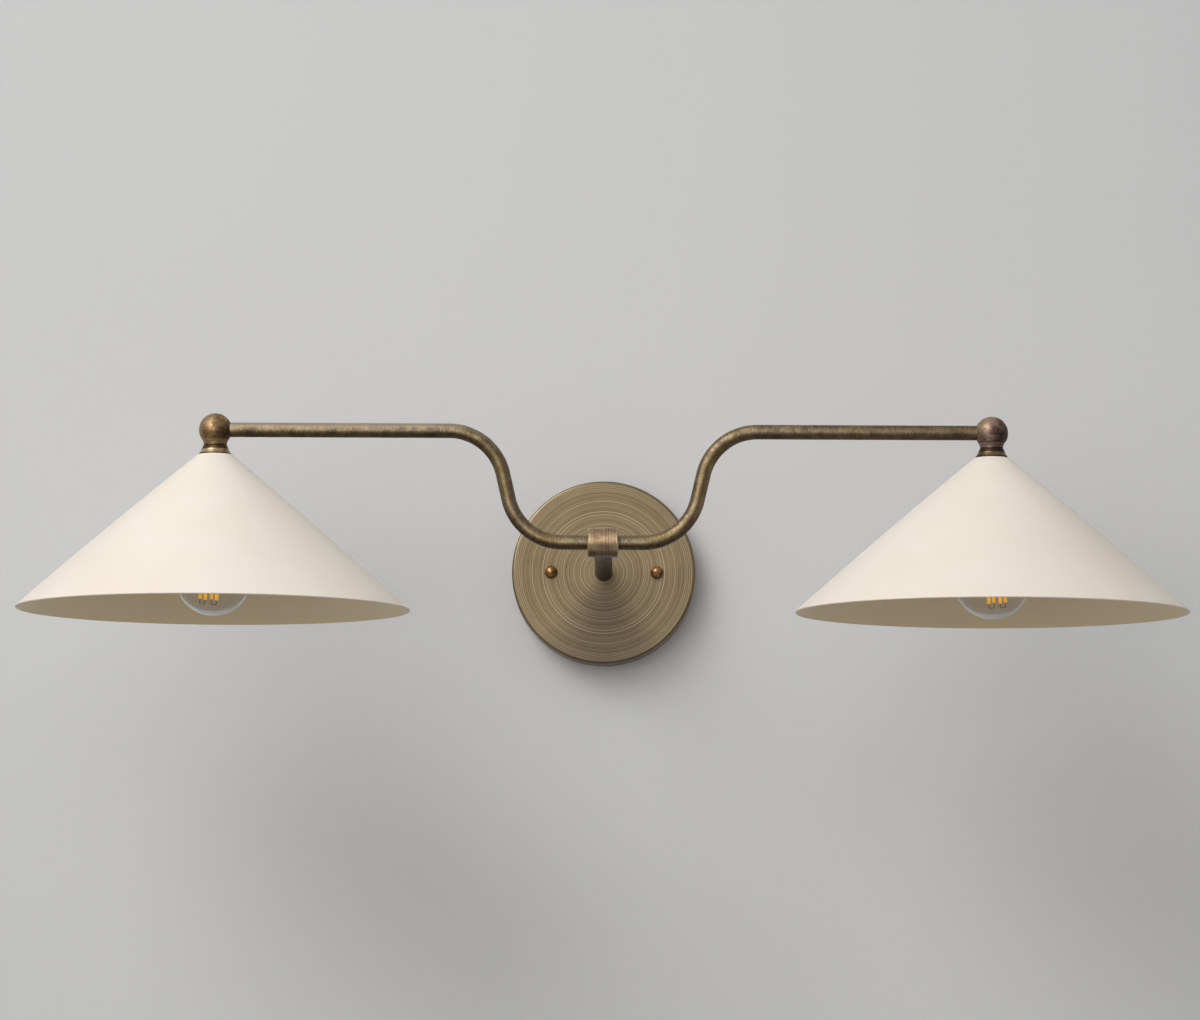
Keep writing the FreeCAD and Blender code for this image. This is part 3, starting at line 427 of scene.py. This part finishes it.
def patinated_tube():
    """Brushed brass tube under a broken patina: bands and hair lines round it, zones of two browns along it.

    The map's u goes round the tube and v along it, so a point reads as (cos u, sin u, length v). It is darker
    on the rising part and far out on the right arm, has painted shade underneath, where the upward attribute
    is below 0, and a painted highlight along the top of the left arm."""
    finish = Finish("patinated_arm_brass", Metallic=1.0)
    u, v = finish.map()
    angle = u * TAU
    cosine = angle.maths("COSINE", angle)
    sine = angle.maths("SINE", angle)
    length = v * ARM_MAP_LENGTH

    def marks(around, along, detail, roughness):
        """Noise that changes this fast round the tube and along it."""
        spot = finish.join(cosine * around, sine * around, length * along)
        return finish.noise(spot, 1.0, detail, roughness)

    zones = marks(around=0.55, along=26.0, detail=2.0, roughness=0.5)
    bands = marks(around=0.7, along=120.0, detail=4.0, roughness=0.65)
    hairs = marks(around=1.1, along=1300.0, detail=3.0, roughness=0.7)
    grain = finish.noise(finish.place(), 1800.0, detail=2.0, roughness=0.6)
    worn = (bands * 0.4 + hairs * 0.4 + grain * 0.2).above(0.5, 0.2)
    patina = finish.blend(zones.above(0.5, 0.2), colour(92, 80, 68), colour(126, 105, 64))
    skin = finish.blend(worn * 0.75, patina, colour(178, 158, 126))
    across, _, height = finish.parts(finish.place())
    upward = finish.node("ShaderNodeAttribute", {"attribute_name": "upward"}, None, "Fac")
    # Painted highlight along the top of the left arm's outer run.
    rubbed = upward.above(0.45, 0.6) * (-across).above(90 * MM, 60 * MM)
    skin = finish.blend(rubbed * 0.6, skin, colour(208, 192, 174))
    # Darker on the rising part and far out on the right arm.
    skin = finish.blend(height.near(36 * MM, 28 * MM, 20 * MM) * 0.4, skin, colour(82, 70, 55))
    skin = finish.blend(across.above(150 * MM, 150 * MM) * 0.4, skin, colour(80, 64, 48))
    # Painted shade along the underside of both arms.
    skin = finish.blend((-upward).above(0.36, 0.5) * 0.75, skin, colour(54, 43, 30))
    finish.feed(Base_Color=skin, Roughness=0.5 - worn * 0.1)
    finish.bump(hairs * 0.7 + grain * 0.3, 0.03 * MM)
    return finish.material


def rubbed_balls():
    """Bronze rubbed by hand: clouds, short brush strokes and pits, browner on the left, purpler on the right.

    Each ball has a painted highlight at its upper left and painted shade at its lower right. Heights are read
    from its centre: both necks have a painted highlight at the waist, their grooves are dark, and so is the
    right one's upper seam."""
    finish = Finish("rubbed_ball_bronze", Metallic=1.0)
    place = finish.place((0, -STEM_REACH, ARM_RISE))
    side, _, height = finish.parts(place)
    right = side.above(0, MM)
    lower_right = side - (right * 2 - 1) * HALF_SPAN - height
    clouds = finish.noise(place, 240.0, detail=4.0, roughness=0.6)
    strokes = finish.noise(finish.place(stretch=(0.4, 1, 1)), 800.0, roughness=0.65)
    pits = finish.noise(place, 1900.0, detail=2.0, roughness=0.6)
    rubbed = (clouds * 0.5 + strokes * 0.35 + pits * 0.15).above(0.5, 0.2)
    brown = finish.blend(rubbed, colour(104, 82, 56), colour(168, 138, 100))
    purple = finish.blend(rubbed, colour(92, 72, 62), colour(156, 130, 116))
    skin = finish.blend(right, brown, purple)
    # Painted highlight at each ball's upper left and painted shade at its lower right.
    skin = finish.blend((-lower_right).above(6 * MM, 9 * MM) * 0.35, skin, colour(214, 184, 150))
    skin = finish.blend(lower_right.above(5 * MM, 10 * MM) * 0.75, skin, colour(44, 33, 24))
    waist = height.near(-NECK_WAIST_DROP, 1.5 * MM, 1.2 * MM)
    groove = height.near(-NECK_GROOVE_DROP, 0.3 * MM, 0.4 * MM)
    seam = height.near(-NECK_SEAM_DROP, 0.3 * MM, 0.4 * MM)
    # Painted highlight round the waist of each neck: brassy on the left, purplish on the right.
    skin = finish.blend(waist * (1 - right) * 0.35, skin, colour(206, 172, 128))
    skin = finish.blend(waist * right * 0.35, skin, colour(176, 148, 142))
    skin = finish.blend(seam * right * 0.75, skin, colour(44, 33, 30))
    skin = finish.blend(groove * 0.8, skin, colour(46, 34, 24))
    finish.feed(Base_Color=skin, Roughness=0.56 - rubbed * 0.12)
    finish.bump(clouds * 0.25 + strokes * 0.45 + pits * 0.3, 0.05 * MM)
    return finish.material


def rolled_collar():
    """Turned brass collar: a cove between a dark upper edge and foot, darker on the right collar."""
    finish = Finish("rolled_collar_brass", Metallic=1.0)
    place = finish.place((0, -STEM_REACH, ARM_RISE - NECK_END_DROP))
    side, _, height = finish.parts(place)
    clouds = finish.noise(place, 260.0)
    lines = finish.line_noise(height + clouds * 0.1 * MM, 3000.0, detail=2.0, roughness=0.7)
    worn = (clouds * 0.5 + lines * 0.5).above(0.5, 0.3)
    edges = 1 - height.near(-COLLAR_COVE_DROP, 1.25 * MM, 0.3 * MM)
    brass = finish.blend(worn, colour(160, 134, 98), colour(206, 180, 142))
    brass = finish.blend(side.above(0, MM) * 0.75, brass, colour(92, 68, 52))
    finish.feed(Base_Color=finish.blend(edges * 0.85, brass, colour(52, 39, 27)))
    finish.feed(Roughness=0.42 + edges * 0.12 - worn * 0.06)
    finish.bump(lines, 0.02 * MM)
    return finish.material


def turned_tee():
    """Tee turned on its long axis: fine lines round it in brass and pinkish brown, chamfers lighter as worn
    metal and as a painted highlight, and painted shade underneath."""
    finish = Finish("turned_tee_brass", Metallic=1.0)
    place = finish.place()
    along, _, height = finish.parts(place)
    clouds = finish.noise(place, 140.0)
    lines = finish.line_noise(along + clouds * 0.15 * MM, 1500.0, detail=4.0, roughness=0.7)
    tints = finish.line_noise(along + 0.3, 330.0, detail=1.0)
    worn = (lines * 0.6 + clouds * 0.4).above(0.5, 0.24)
    dull = finish.blend(tints.above(0.5, 0.2), colour(126, 100, 68), colour(124, 98, 80))
    brass = finish.blend(worn, dull, colour(208, 180, 144))
    chamfer = 1 - along.near(0, TEE_LENGTH / 2 - TEE_CHAMFER, 0.3 * MM)
    # Painted shade over the underside.
    brass = finish.blend((-height).above(6 * MM, 4 * MM) * 0.8, brass, colour(46, 36, 26))
    # The chamfers are lighter, as worn metal and as a painted highlight.
    finish.feed(Base_Color=finish.blend(chamfer * 0.6, brass, colour(178, 154, 120)))
    finish.feed(Roughness=0.42 - worn * 0.1 - chamfer * 0.06)
    finish.bump(lines, 0.03 * MM)
    return finish.material


def brown_stem():
    """Stem tube in dark brown patina, darkened further as painted shade, with faint lines round it."""
    finish = Finish("brown_stem_brass", Metallic=1.0)
    place = finish.place()
    along = finish.parts(place)[1]
    clouds = finish.noise(place, 90.0, detail=4.0)
    lines = finish.line_noise(along + clouds * 0.2 * MM, 1400.0, roughness=0.7)
    worn = (lines * 0.5 + clouds * 0.5).above(0.5, 0.24)
    # Dark brown, partly painted shade.
    finish.feed(Base_Color=finish.blend(worn, colour(46, 37, 25), colour(82, 67, 47)))
    finish.feed(Roughness=0.46 - worn * 0.08)
    finish.bump(lines, 0.03 * MM)
    return finish.material


def coppery_nuts():
    """Ball nuts rubbed to copper on their crowns, darker in the pits."""
    finish = Finish("coppery_nut_bronze", Metallic=1.0)
    place = finish.place()
    clouds = finish.noise(place, 420.0, detail=4.0, roughness=0.6)
    pits = finish.noise(place, 2400.0, detail=2.0, roughness=0.6)
    rubbed = (clouds * 0.7 + pits * 0.3).above(0.5, 0.26)
    finish.feed(Base_Color=finish.blend(rubbed, colour(126, 88, 52), colour(196, 148, 100)))
    finish.feed(Roughness=0.42 - rubbed * 0.12)
    finish.bump(clouds * 0.4 + pits * 0.6, 0.04 * MM)
    return finish.material


def cream_enamel():
    """Smooth baked cream enamel: a faint orange-peel skin, a barely uneven tone and a rare speck.

    The map's v runs down the outer side and back up the inner one, whose coat is darker and yellower as
    painted shade inside the cone."""
    finish = Finish("cream_enamel", Specular_IOR_Level=0.42)
    place = finish.place()
    _, v = finish.map()
    tone = finish.noise(place, 14.0)
    specks = finish.noise(place, 330.0, detail=1.0)
    peel = finish.noise(place, 900.0, detail=2.0, roughness=0.5)
    cream = finish.blend(tone.above(0.5, 0.6), colour(235, 224, 209), colour(239, 230, 217))
    cream = finish.blend(specks.above(0.84, 0.04) * 0.6, cream, colour(150, 132, 108))
    # Painted shade inside the cone: a darker, yellower inner coat.
    cream = finish.blend(v.above(0.5, 0.01), cream, colour(232, 210, 170))
    finish.feed(Base_Color=cream, Roughness=0.4 + tone * 0.06)
    finish.bump(peel, 0.02 * MM)
    return finish.material


def clear_glass():
    """Blown clear glass with a slow waver in its thickness, softer and painted grey as shade where it is seen
    edge on.
    """
    finish = Finish("clear_glass", Transmission_Weight=1.0, IOR=1.4)
    waver = finish.noise(finish.place(), 60.0, detail=1.0)
    edge_on = finish.node("ShaderNodeLayerWeight", None, {"Blend": 0.35}, "Facing")
    # Painted shade: grey where the glass is seen edge on.
    grey = finish.blend(edge_on, (0.96, 0.96, 0.965, 1), colour(196, 193, 198))
    finish.feed(Base_Color=grey, Roughness=0.02 + edge_on * 0.1 + waver * 0.03)
    finish.bump(waver, 0.05 * MM)
    return finish.material


def phosphor_sticks():
    """Yellow coated filaments: an amber core under a paler skin, with bare metal at both ends.

    The map's v runs from one end of a stick to the other. The coat has a faint painted glow."""
    finish = Finish("filament_phosphor", Roughness=0.5)
    _, v = finish.map()
    grains = finish.noise(finish.place(), 1400.0, detail=2.0)
    coated = v.near(0.5, 0.5 - TAB_SHARE, 0.03)
    coat = finish.blend(grains.above(0.5, 0.4), colour(240, 158, 16), colour(254, 204, 66))
    finish.feed(Base_Color=finish.blend(coated, colour(150, 146, 140), coat))
    # Painted light: the coat glows faintly.
    finish.feed(Metallic=1.0 - coated, Emission_Strength=0.6)
    finish.feed(Emission_Color=finish.blend(coated, colour(0, 0, 0), coat))
    finish.bump(grains, 0.05 * MM)
    return finish.material


def plain_metal(name, dark, light, scale, roughness):
    """Stock metal with a mottled skin."""
    finish = Finish(name, Metallic=1.0)
    place = finish.place()
    skin = finish.noise(place, scale, detail=4.0, roughness=0.6)
    finish.feed(Base_Color=finish.blend(skin.above(0.5, 0.4), dark, light))
    finish.feed(Roughness=roughness + skin * 0.12)
    finish.bump(skin, 0.03 * MM)
    return finish.material


def moulded(name, dark, light, roughness, scale=500.0):
    """Moulded plastic or drawn insulation: a fine satin grain and a slight change of tone."""
    finish = Finish(name)
    place = finish.place()
    tone = finish.noise(place, scale / 12)
    grain = finish.noise(place, scale, roughness=0.6)
    finish.feed(Base_Color=finish.blend((tone * 0.6 + grain * 0.4).above(0.5, 0.4), dark, light))
    finish.feed(Roughness=roughness + grain * 0.12)
    finish.bump(grain, 0.03 * MM)
    return finish.material


finishes = {
    "plate_brass": turned_brass_plate(),
    "stem_brass": brown_stem(),
    "tee_brass": turned_tee(),
    "arm_brass": patinated_tube(),
    "ball_bronze": rubbed_balls(),
    "collar_brass": rolled_collar(),
    "nut_bronze": coppery_nuts(),
    "shade_cream": cream_enamel(),
    "clear_glass": clear_glass(),
    "support_wire": plain_metal("support_wire_steel", colour(70, 66, 62), colour(120, 114, 108), 900.0, 0.3),
    "base_nickel": plain_metal("base_nickel", colour(182, 178, 170), colour(200, 196, 188), 150.0, 0.22),
    "solder_grey": plain_metal("solder_grey", colour(150, 150, 152), colour(196, 196, 198), 700.0, 0.38),
    "insulator_black": moulded("insulator_black", colour(22, 22, 26), colour(40, 40, 46), 0.2),
    "socket_black": moulded("socket_black", colour(26, 24, 23), colour(44, 41, 39), 0.4),
    "raw_brass": plain_metal("raw_brass", colour(188, 152, 84), colour(224, 190, 118), 350.0, 0.28),
    "zinc_steel": plain_metal("zinc_steel", colour(150, 150, 146), colour(196, 196, 190), 260.0, 0.32),
    "tinned_copper": plain_metal("tinned_copper", colour(170, 162, 152), colour(208, 200, 190), 500.0, 0.3),
    "earth_green": plain_metal("earth_screw_green", colour(30, 92, 46), colour(52, 128, 66), 500.0, 0.34),
    "lead_black": moulded("lead_black", colour(20, 20, 20), colour(38, 38, 38), 0.42, 900.0),
    "lead_white": moulded("lead_white", colour(214, 212, 204), colour(236, 234, 228), 0.42, 900.0),
    "lead_green": moulded("lead_green", colour(22, 96, 44), colour(40, 124, 60), 0.42, 900.0),
    "connector_orange": moulded("connector_orange", colour(202, 92, 26), colour(224, 116, 40), 0.38, 300.0),
    "filament_yellow": phosphor_sticks(),
}
for node in cad_nodes.values():
    for place, packed in enumerate(node.data.materials):
        node.data.materials[place] = finishes[packed.name.split(".")[0]]


# ---- Pieces that replace their solids

def on_head(side, height):
    """The point this high on the axis of one side's lamp head."""
    return np.array([SIDES[side] * HALF_SPAN, -STEM_REACH, height])


def put_in(piece, body, node):
    """Puts a piece on a body in the place of a node."""
    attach(piece, body)
    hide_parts(node)


def shade_profile():
    """The cone's outline, from its hole down the outer side and back: each side is a chord swollen to an arc.

    The crown corner stands outward of the chord's middle by half the side times tan(half turn), and the inner
    outline is the outer one moved in by the wall along each run's normal."""
    top = np.array([SHADE_TOP_RADIUS, 0])
    rim = np.array([SHADE_RIM_RADIUS, -SHADE_HEIGHT])
    side = np.linalg.norm(rim - top)
    half_turn = math.atan(side / 2 * SHADE_CROWN_SHARE / SHADE_CROWN_RADIUS)
    outward = np.array([SHADE_HEIGHT, SHADE_RIM_RADIUS - SHADE_TOP_RADIUS]) / side
    crown = (top + rim) / 2 + outward * side / 2 * math.tan(half_turn)
    upper = np.array([top[1] - crown[1], crown[0] - top[0]]) / np.linalg.norm(crown - top)
    lower = np.array([crown[1] - rim[1], rim[0] - crown[0]]) / np.linalg.norm(rim - crown)
    inner_crown = crown - outward * SHADE_WALL / math.cos(half_turn)
    inner_rim = rim - lower * SHADE_WALL
    inner_top = top[0] + SHADE_WALL * (upper[1] - 1) / upper[0]
    return rounded_corners([
        (SHADE_HOLE, 0), (*top, SHADE_SHOULDER), (*crown, SHADE_CROWN_RADIUS), (*rim, RIM_ROUNDING),
        (*inner_rim, RIM_ROUNDING), (*inner_crown, SHADE_CROWN_RADIUS - SHADE_WALL),
        (inner_top, -SHADE_WALL, SHADE_SHOULDER - SHADE_WALL), (SHADE_HOLE, -SHADE_WALL)], steps=12)


def make_shade(side):
    """Cone of even wall, turned about the ball's axis, with a rounded shoulder and its rim cut square."""
    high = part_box(f"{side}_shade")[1]
    points = turned(close_rows(shade_profile(), SHADE_SPACING), SHADE_COLUMNS)
    points += on_head(side, high.z)
    shade = make_piece(f"{side}_cream_shade", points, finishes["shade_cream"], along_closed=True)
    put_in(shade, "fixture", f"{side}_shade")


def arm_path():
    """The arm's centre line as (distance from the middle, height): flat, bend up, slope, bend out, flat."""
    lower = ARM_INNER_RUN + ARM_BEND_RADIUS * math.tan(ARM_BEND_ANGLE / 2)
    upper = lower + ARM_RISE / math.tan(ARM_BEND_ANGLE)
    run = rounded_corners([(ARM_START, 0), (lower, 0, ARM_BEND_RADIUS), (upper, ARM_RISE, ARM_BEND_RADIUS),
                           (ARM_END, ARM_RISE)], steps=200)
    steps = np.concatenate([[0], np.cumsum(np.linalg.norm(np.diff(run, axis=0), axis=1))])
    even = np.linspace(0, steps[-1], ARM_ROWS)
    return np.stack([np.interp(even, steps, run[:, k]) for k in range(2)], -1)


def make_arm(side):
    """Tube along the arm's line: centre + r (cos t front + sin t normal), outside and then back inside.

    The upward attribute holds how far each point's normal rises, ahead across times sin t."""
    path = arm_path()
    ahead = np.gradient(path, axis=0)
    ahead /= np.linalg.norm(ahead, axis=1)[:, None]
    angle = np.arange(ARM_COLUMNS) / ARM_COLUMNS * TAU
    shells = []
    upward = []
    for radius, order in ((ARM_RADIUS, 1), (ARM_RADIUS - ARM_WALL, -1)):
        x = path[:, :1] - ahead[:, 1:] * radius * np.sin(angle)
        z = path[:, 1:] + ahead[:, :1] * radius * np.sin(angle)
        y = np.broadcast_to(-radius * np.cos(angle) - STEM_REACH, x.shape)
        shells.append(np.stack([x * SIDES[side], y, z], -1)[::order])
        upward.append((ahead[:, :1] * np.sin(angle))[::order])
    arm = make_piece(f"{side}_bent_arm", np.concatenate(shells), finishes["arm_brass"], along_closed=True)
    lift = arm.data.attributes.new("upward", "FLOAT", "POINT")
    lift.data.foreach_set("value", np.concatenate(upward).astype(np.float32).ravel())
    put_in(arm, "fixture", f"{side}_arm")


def glass_profile(inset):
    """Globe and neck from the pole up, this far inside the outer face: a sphere and a fillet to the neck."""
    neck = GLASS_NECK_RADIUS - inset
    globe = GLOBE_RADIUS - inset
    fillet = GLASS_FILLET + inset
    rise = math.sqrt((globe + fillet) ** 2 - (neck + fillet) ** 2)
    lean = math.atan2(neck + fillet, rise)
    around = np.linspace(0, math.pi - lean, GLOBE_ROWS)
    sphere = np.stack([globe * np.sin(around), -globe * np.cos(around)], -1)
    sweep = np.linspace(lean, math.pi / 2, GLASS_FILLET_ROWS)[1:]
    waist = np.stack([neck + fillet - fillet * np.sin(sweep), rise - fillet * np.cos(sweep)], -1)
    return np.concatenate([sphere, waist])


def make_bulb_glass(side):
    """Closed globe of even wall: up the outer face to the top of the neck, and down the inner one."""
    low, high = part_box(f"{side}_bulb_glass")
    top = high.z - (low.z + GLOBE_RADIUS)
    outer = np.concatenate([glass_profile(0), [(GLASS_NECK_RADIUS, top)]])
    inner = np.concatenate([glass_profile(GLASS_WALL), [(GLASS_NECK_RADIUS - GLASS_WALL, top)]])
    points = turned(np.concatenate([outer, inner[::-1]]), GLASS_COLUMNS)
    points += on_head(side, low.z + GLOBE_RADIUS)
    glass = make_piece(f"{side}_globe_glass", points, finishes["clear_glass"])
    put_in(glass, f"{side}_bulb", f"{side}_bulb_glass")


def make_bulb_base(side):
    """Rolled thread: radius = root + depth (1 + cos(turns - angle)) / 2, fading at both ends, above a lip."""
    low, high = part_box(f"{side}_bulb_screw_base")
    length = high.z - low.z
    height = np.linspace(0, length, BASE_ROWS)[:, None]
    angle = np.arange(BASE_COLUMNS) / BASE_COLUMNS * TAU
    crest = 0.5 + 0.5 * np.cos(height / BASE_PITCH * TAU - angle)
    fade_in = np.clip((height - BASE_THREAD_START) / BASE_FADE_IN, 0, 1)
    fade_out = np.clip((length - height) / BASE_FADE_OUT, 0, 1)
    outer = BASE_ROOT + (BASE_CREST - BASE_ROOT) * crest * (fade_in * fade_out)
    outer = np.where(height < BASE_LIP, BASE_CREST, outer)
    inner = np.full_like(outer, BASE_BORE)
    tall = np.broadcast_to(height, outer.shape)
    shells = [np.stack([r * np.cos(angle), r * np.sin(angle), tall], -1) for r in (outer, inner)]
    points = np.concatenate([shells[0], shells[1][::-1]])
    points += on_head(side, low.z)
    base = make_piece(f"{side}_rolled_screw_base", points, finishes["base_nickel"], along_closed=True)
    put_in(base, f"{side}_bulb", f"{side}_bulb_screw_base")


def lean_out(points, side, tip):
    """Turns points about the middle of the stem glass's disc, so that their lower ends lean outwards:
    across' = across cos a - height sin a and height' = across sin a + height cos a."""
    outward = SIDES[side]
    pivot = on_head(side, tip - STEM_GLASS_DROP)
    across, depth, height = np.moveaxis(points - pivot, -1, 0)
    across = across * outward
    turned_across = across * math.cos(STEM_GLASS_LEAN) - height * math.sin(STEM_GLASS_LEAN)
    turned_height = across * math.sin(STEM_GLASS_LEAN) + height * math.cos(STEM_GLASS_LEAN)
    return np.stack([turned_across * outward, depth, turned_height], -1) + pivot


def make_filaments(side):
    """Sticks on a ring round the leaning stem, each a coated rod with a narrow metal tab at both ends."""
    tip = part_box(f"{side}_bulb_contact")[1].z
    half = rounded_corners([(0, 0), (TAB_RADIUS, 0), (TAB_RADIUS, TAB_LENGTH),
                            (FILAMENT_RADIUS, TAB_LENGTH, FILAMENT_ROUNDING),
                            (FILAMENT_RADIUS, FILAMENT_LENGTH / 2)], steps=6)
    mirrored = half[::-1] * (1, -1) + (0, FILAMENT_LENGTH)
    stick = turned(np.concatenate([half, mirrored[1:]]), FILAMENT_COLUMNS)
    for number in range(FILAMENTS):
        angle = FILAMENT_TURN + number * TAU / FILAMENTS
        spot = (SIDES[side] * (HALF_SPAN + FILAMENT_RING * math.cos(angle)),
                -STEM_REACH - FILAMENT_RING * math.sin(angle), tip - FILAMENT_DROP - FILAMENT_LENGTH)
        points = lean_out(stick + spot, side, tip)
        piece = make_piece(f"{side}_filament_{number + 1}", points, finishes["filament_yellow"])
        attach(piece, f"{side}_bulb")
        if number == 0:
            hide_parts(f"{side}_bulb_filaments")


def make_connector(name, direction):
    """Ribbed cone, bored from its mouth: radius = cone - depth (1 - cos(ribs t)) / 2 beyond a collar."""
    low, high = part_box(name)
    length = high.x - low.x
    outline = rounded_corners([
        (CONNECTOR_BORE, CONNECTOR_DEPTH), (CONNECTOR_BORE, 0),
        (CONNECTOR_MOUTH, 0, CONNECTOR_MOUTH_ROUNDING), (CONNECTOR_MOUTH, CONNECTOR_COLLAR),
        (CONNECTOR_TIP, length, CONNECTOR_TIP_ROUNDING), (0, length)], steps=5)
    profile = np.concatenate([[(0, CONNECTOR_DEPTH)], close_rows(outline, CONNECTOR_SPACING)])
    angle = np.arange(CONNECTOR_COLUMNS) / CONNECTOR_COLUMNS * TAU
    reach = np.clip((profile[:, 1:] - CONNECTOR_COLLAR) / RIB_FADE, 0, 1)
    outside = np.clip((profile[:, :1] - RIB_LEAST_RADIUS) / RIB_EDGE_FADE, 0, 1)
    radius = profile[:, :1] - RIB_DEPTH * reach * outside * (0.5 - 0.5 * np.cos(RIBS * angle))
    along = np.broadcast_to(profile[:, 1:] * direction, radius.shape)
    points = np.stack([along, radius * np.cos(angle), radius * np.sin(angle)], -1)
    mouth_x = low.x if direction > 0 else high.x
    points += (mouth_x, (low.y + high.y) / 2, (low.z + high.z) / 2)
    piece = make_piece(f"{name}_ribbed", points, finishes["connector_orange"])
    put_in(piece, "fixture", name)


for side in SIDES:
    make_shade(side)
    make_arm(side)
    make_bulb_glass(side)
    make_bulb_base(side)
    make_filaments(side)
make_connector("live_connector", -1)
make_connector("neutral_connector", 1)


# ---- Studio: a pale sweep behind and below, a soft key lamp at the upper left and a wide one in front

def make_sweep():
    """Pale paper: flat wall, quarter circle and flat floor, seen from its front only. It has a round hole
    behind the backplate, as a wall has for its box, so that light reaches the bracket from behind."""
    finish = Finish("studio_paper", Roughness=0.9, Specular_IOR_Level=0.1)
    paper = finish.noise(finish.place(), 3.0, detail=2.0)
    finish.feed(Base_Color=finish.blend(paper, colour(208, 208, 208), colour(212, 212, 211)))
    clear = finish.node("ShaderNodeBsdfTransparent")
    behind = finish.node("ShaderNodeNewGeometry", result="Backfacing")
    x, _, z = finish.parts(finish.place())
    papered = (x * x + z * z).root().above(BOX_HOLE_RADIUS, 0.5 * MM) * (1 - behind)
    paper_shader = Wire(finish, finish.shader.outputs[0])
    mixed = finish.node("ShaderNodeMixShader", None, {0: papered, 1: clear, 2: paper_shader})
    finish.put(finish.tree.nodes["Material Output"].inputs["Surface"], mixed)
    bend = np.linspace(0, math.pi / 2, SWEEP_BEND_ROWS)
    depth = SWEEP_RADIUS * np.cos(bend) - SWEEP_RADIUS
    height = SWEEP_FLOOR + SWEEP_RADIUS - SWEEP_RADIUS * np.sin(bend)
    line = np.concatenate([[(0, SWEEP_TOP)], np.stack([depth, height], -1), [(SWEEP_FRONT, SWEEP_FLOOR)]])
    rows = len(line)
    across = np.broadcast_to([-SWEEP_HALF_WIDTH, SWEEP_HALF_WIDTH], (rows, 2))
    points = np.stack([across, np.repeat(line[:, :1] + SWEEP_GAP, 2, 1), np.repeat(line[:, 1:], 2, 1)], -1)
    first = np.arange(rows - 1) * 2
    quads = np.stack([first, first + 2, first + 3, first + 1], -1)
    mesh = bpy.data.meshes.new("studio_sweep")
    mesh.from_pydata(points.reshape(-1, 3).tolist(), [], quads.tolist())
    mesh.polygons.foreach_set("use_smooth", np.ones(len(quads), bool))
    mesh.materials.append(finish.material)
    sweep = add_object("studio_sweep", mesh)


def soft_lamp(name, place, aim, size, power, spread):
    """Round lamp this wide that looks at a point: its power in watts and its spread in degrees."""
    data = bpy.data.lights.new(name, "AREA")
    data.shape = "DISK"
    data.size = size
    data.energy = power
    data.spread = math.radians(spread)
    lamp = add_object(name, data)
    lamp.location = place
    lamp.rotation_euler = (Vector(aim) - Vector(place)).to_track_quat("-Z", "Y").to_euler()
    lamp.visible_camera = False


def light_room():
    """Even grey room light: dim from below the horizon, stronger from above."""
    world = bpy.data.worlds.new("soft_room")
    bpy.context.scene.world = world
    world.use_nodes = True
    nodes, links = world.node_tree.nodes, world.node_tree.links
    direction = nodes.new("ShaderNodeTexCoord")
    split = nodes.new("ShaderNodeSeparateXYZ")
    ramp = nodes.new("ShaderNodeValToRGB")
    span = nodes.new("ShaderNodeMapRange")
    span.inputs["From Min"].default_value = -1.0
    links.new(direction.outputs["Generated"], split.inputs[0])
    links.new(split.outputs["Z"], span.inputs["Value"])
    links.new(span.outputs[0], ramp.inputs[0])
    links.new(ramp.outputs[0], nodes["Background"].inputs["Color"])
    steps = ramp.color_ramp.elements
    steps[0].color = (ROOM_BELOW, ROOM_BELOW, ROOM_BELOW, 1)
    steps[1].color = (ROOM_ABOVE, ROOM_ABOVE, ROOM_ABOVE, 1)
    steps.new(ROOM_HORIZON_PLACE).color = (ROOM_HORIZON, ROOM_HORIZON, ROOM_HORIZON, 1)


make_sweep()
light_room()
soft_lamp("key_lamp", place=(-1.44, -1.84, 1.8), aim=(0, -0.1, 0), size=1.92, power=7.7, spread=75)
soft_lamp("front_lamp", place=(-1.1, -3.4, 0.6), aim=(0, -0.2, 0), size=3.2, power=13.8, spread=90)
bpy.context.scene.view_settings.view_transform = "Standard"
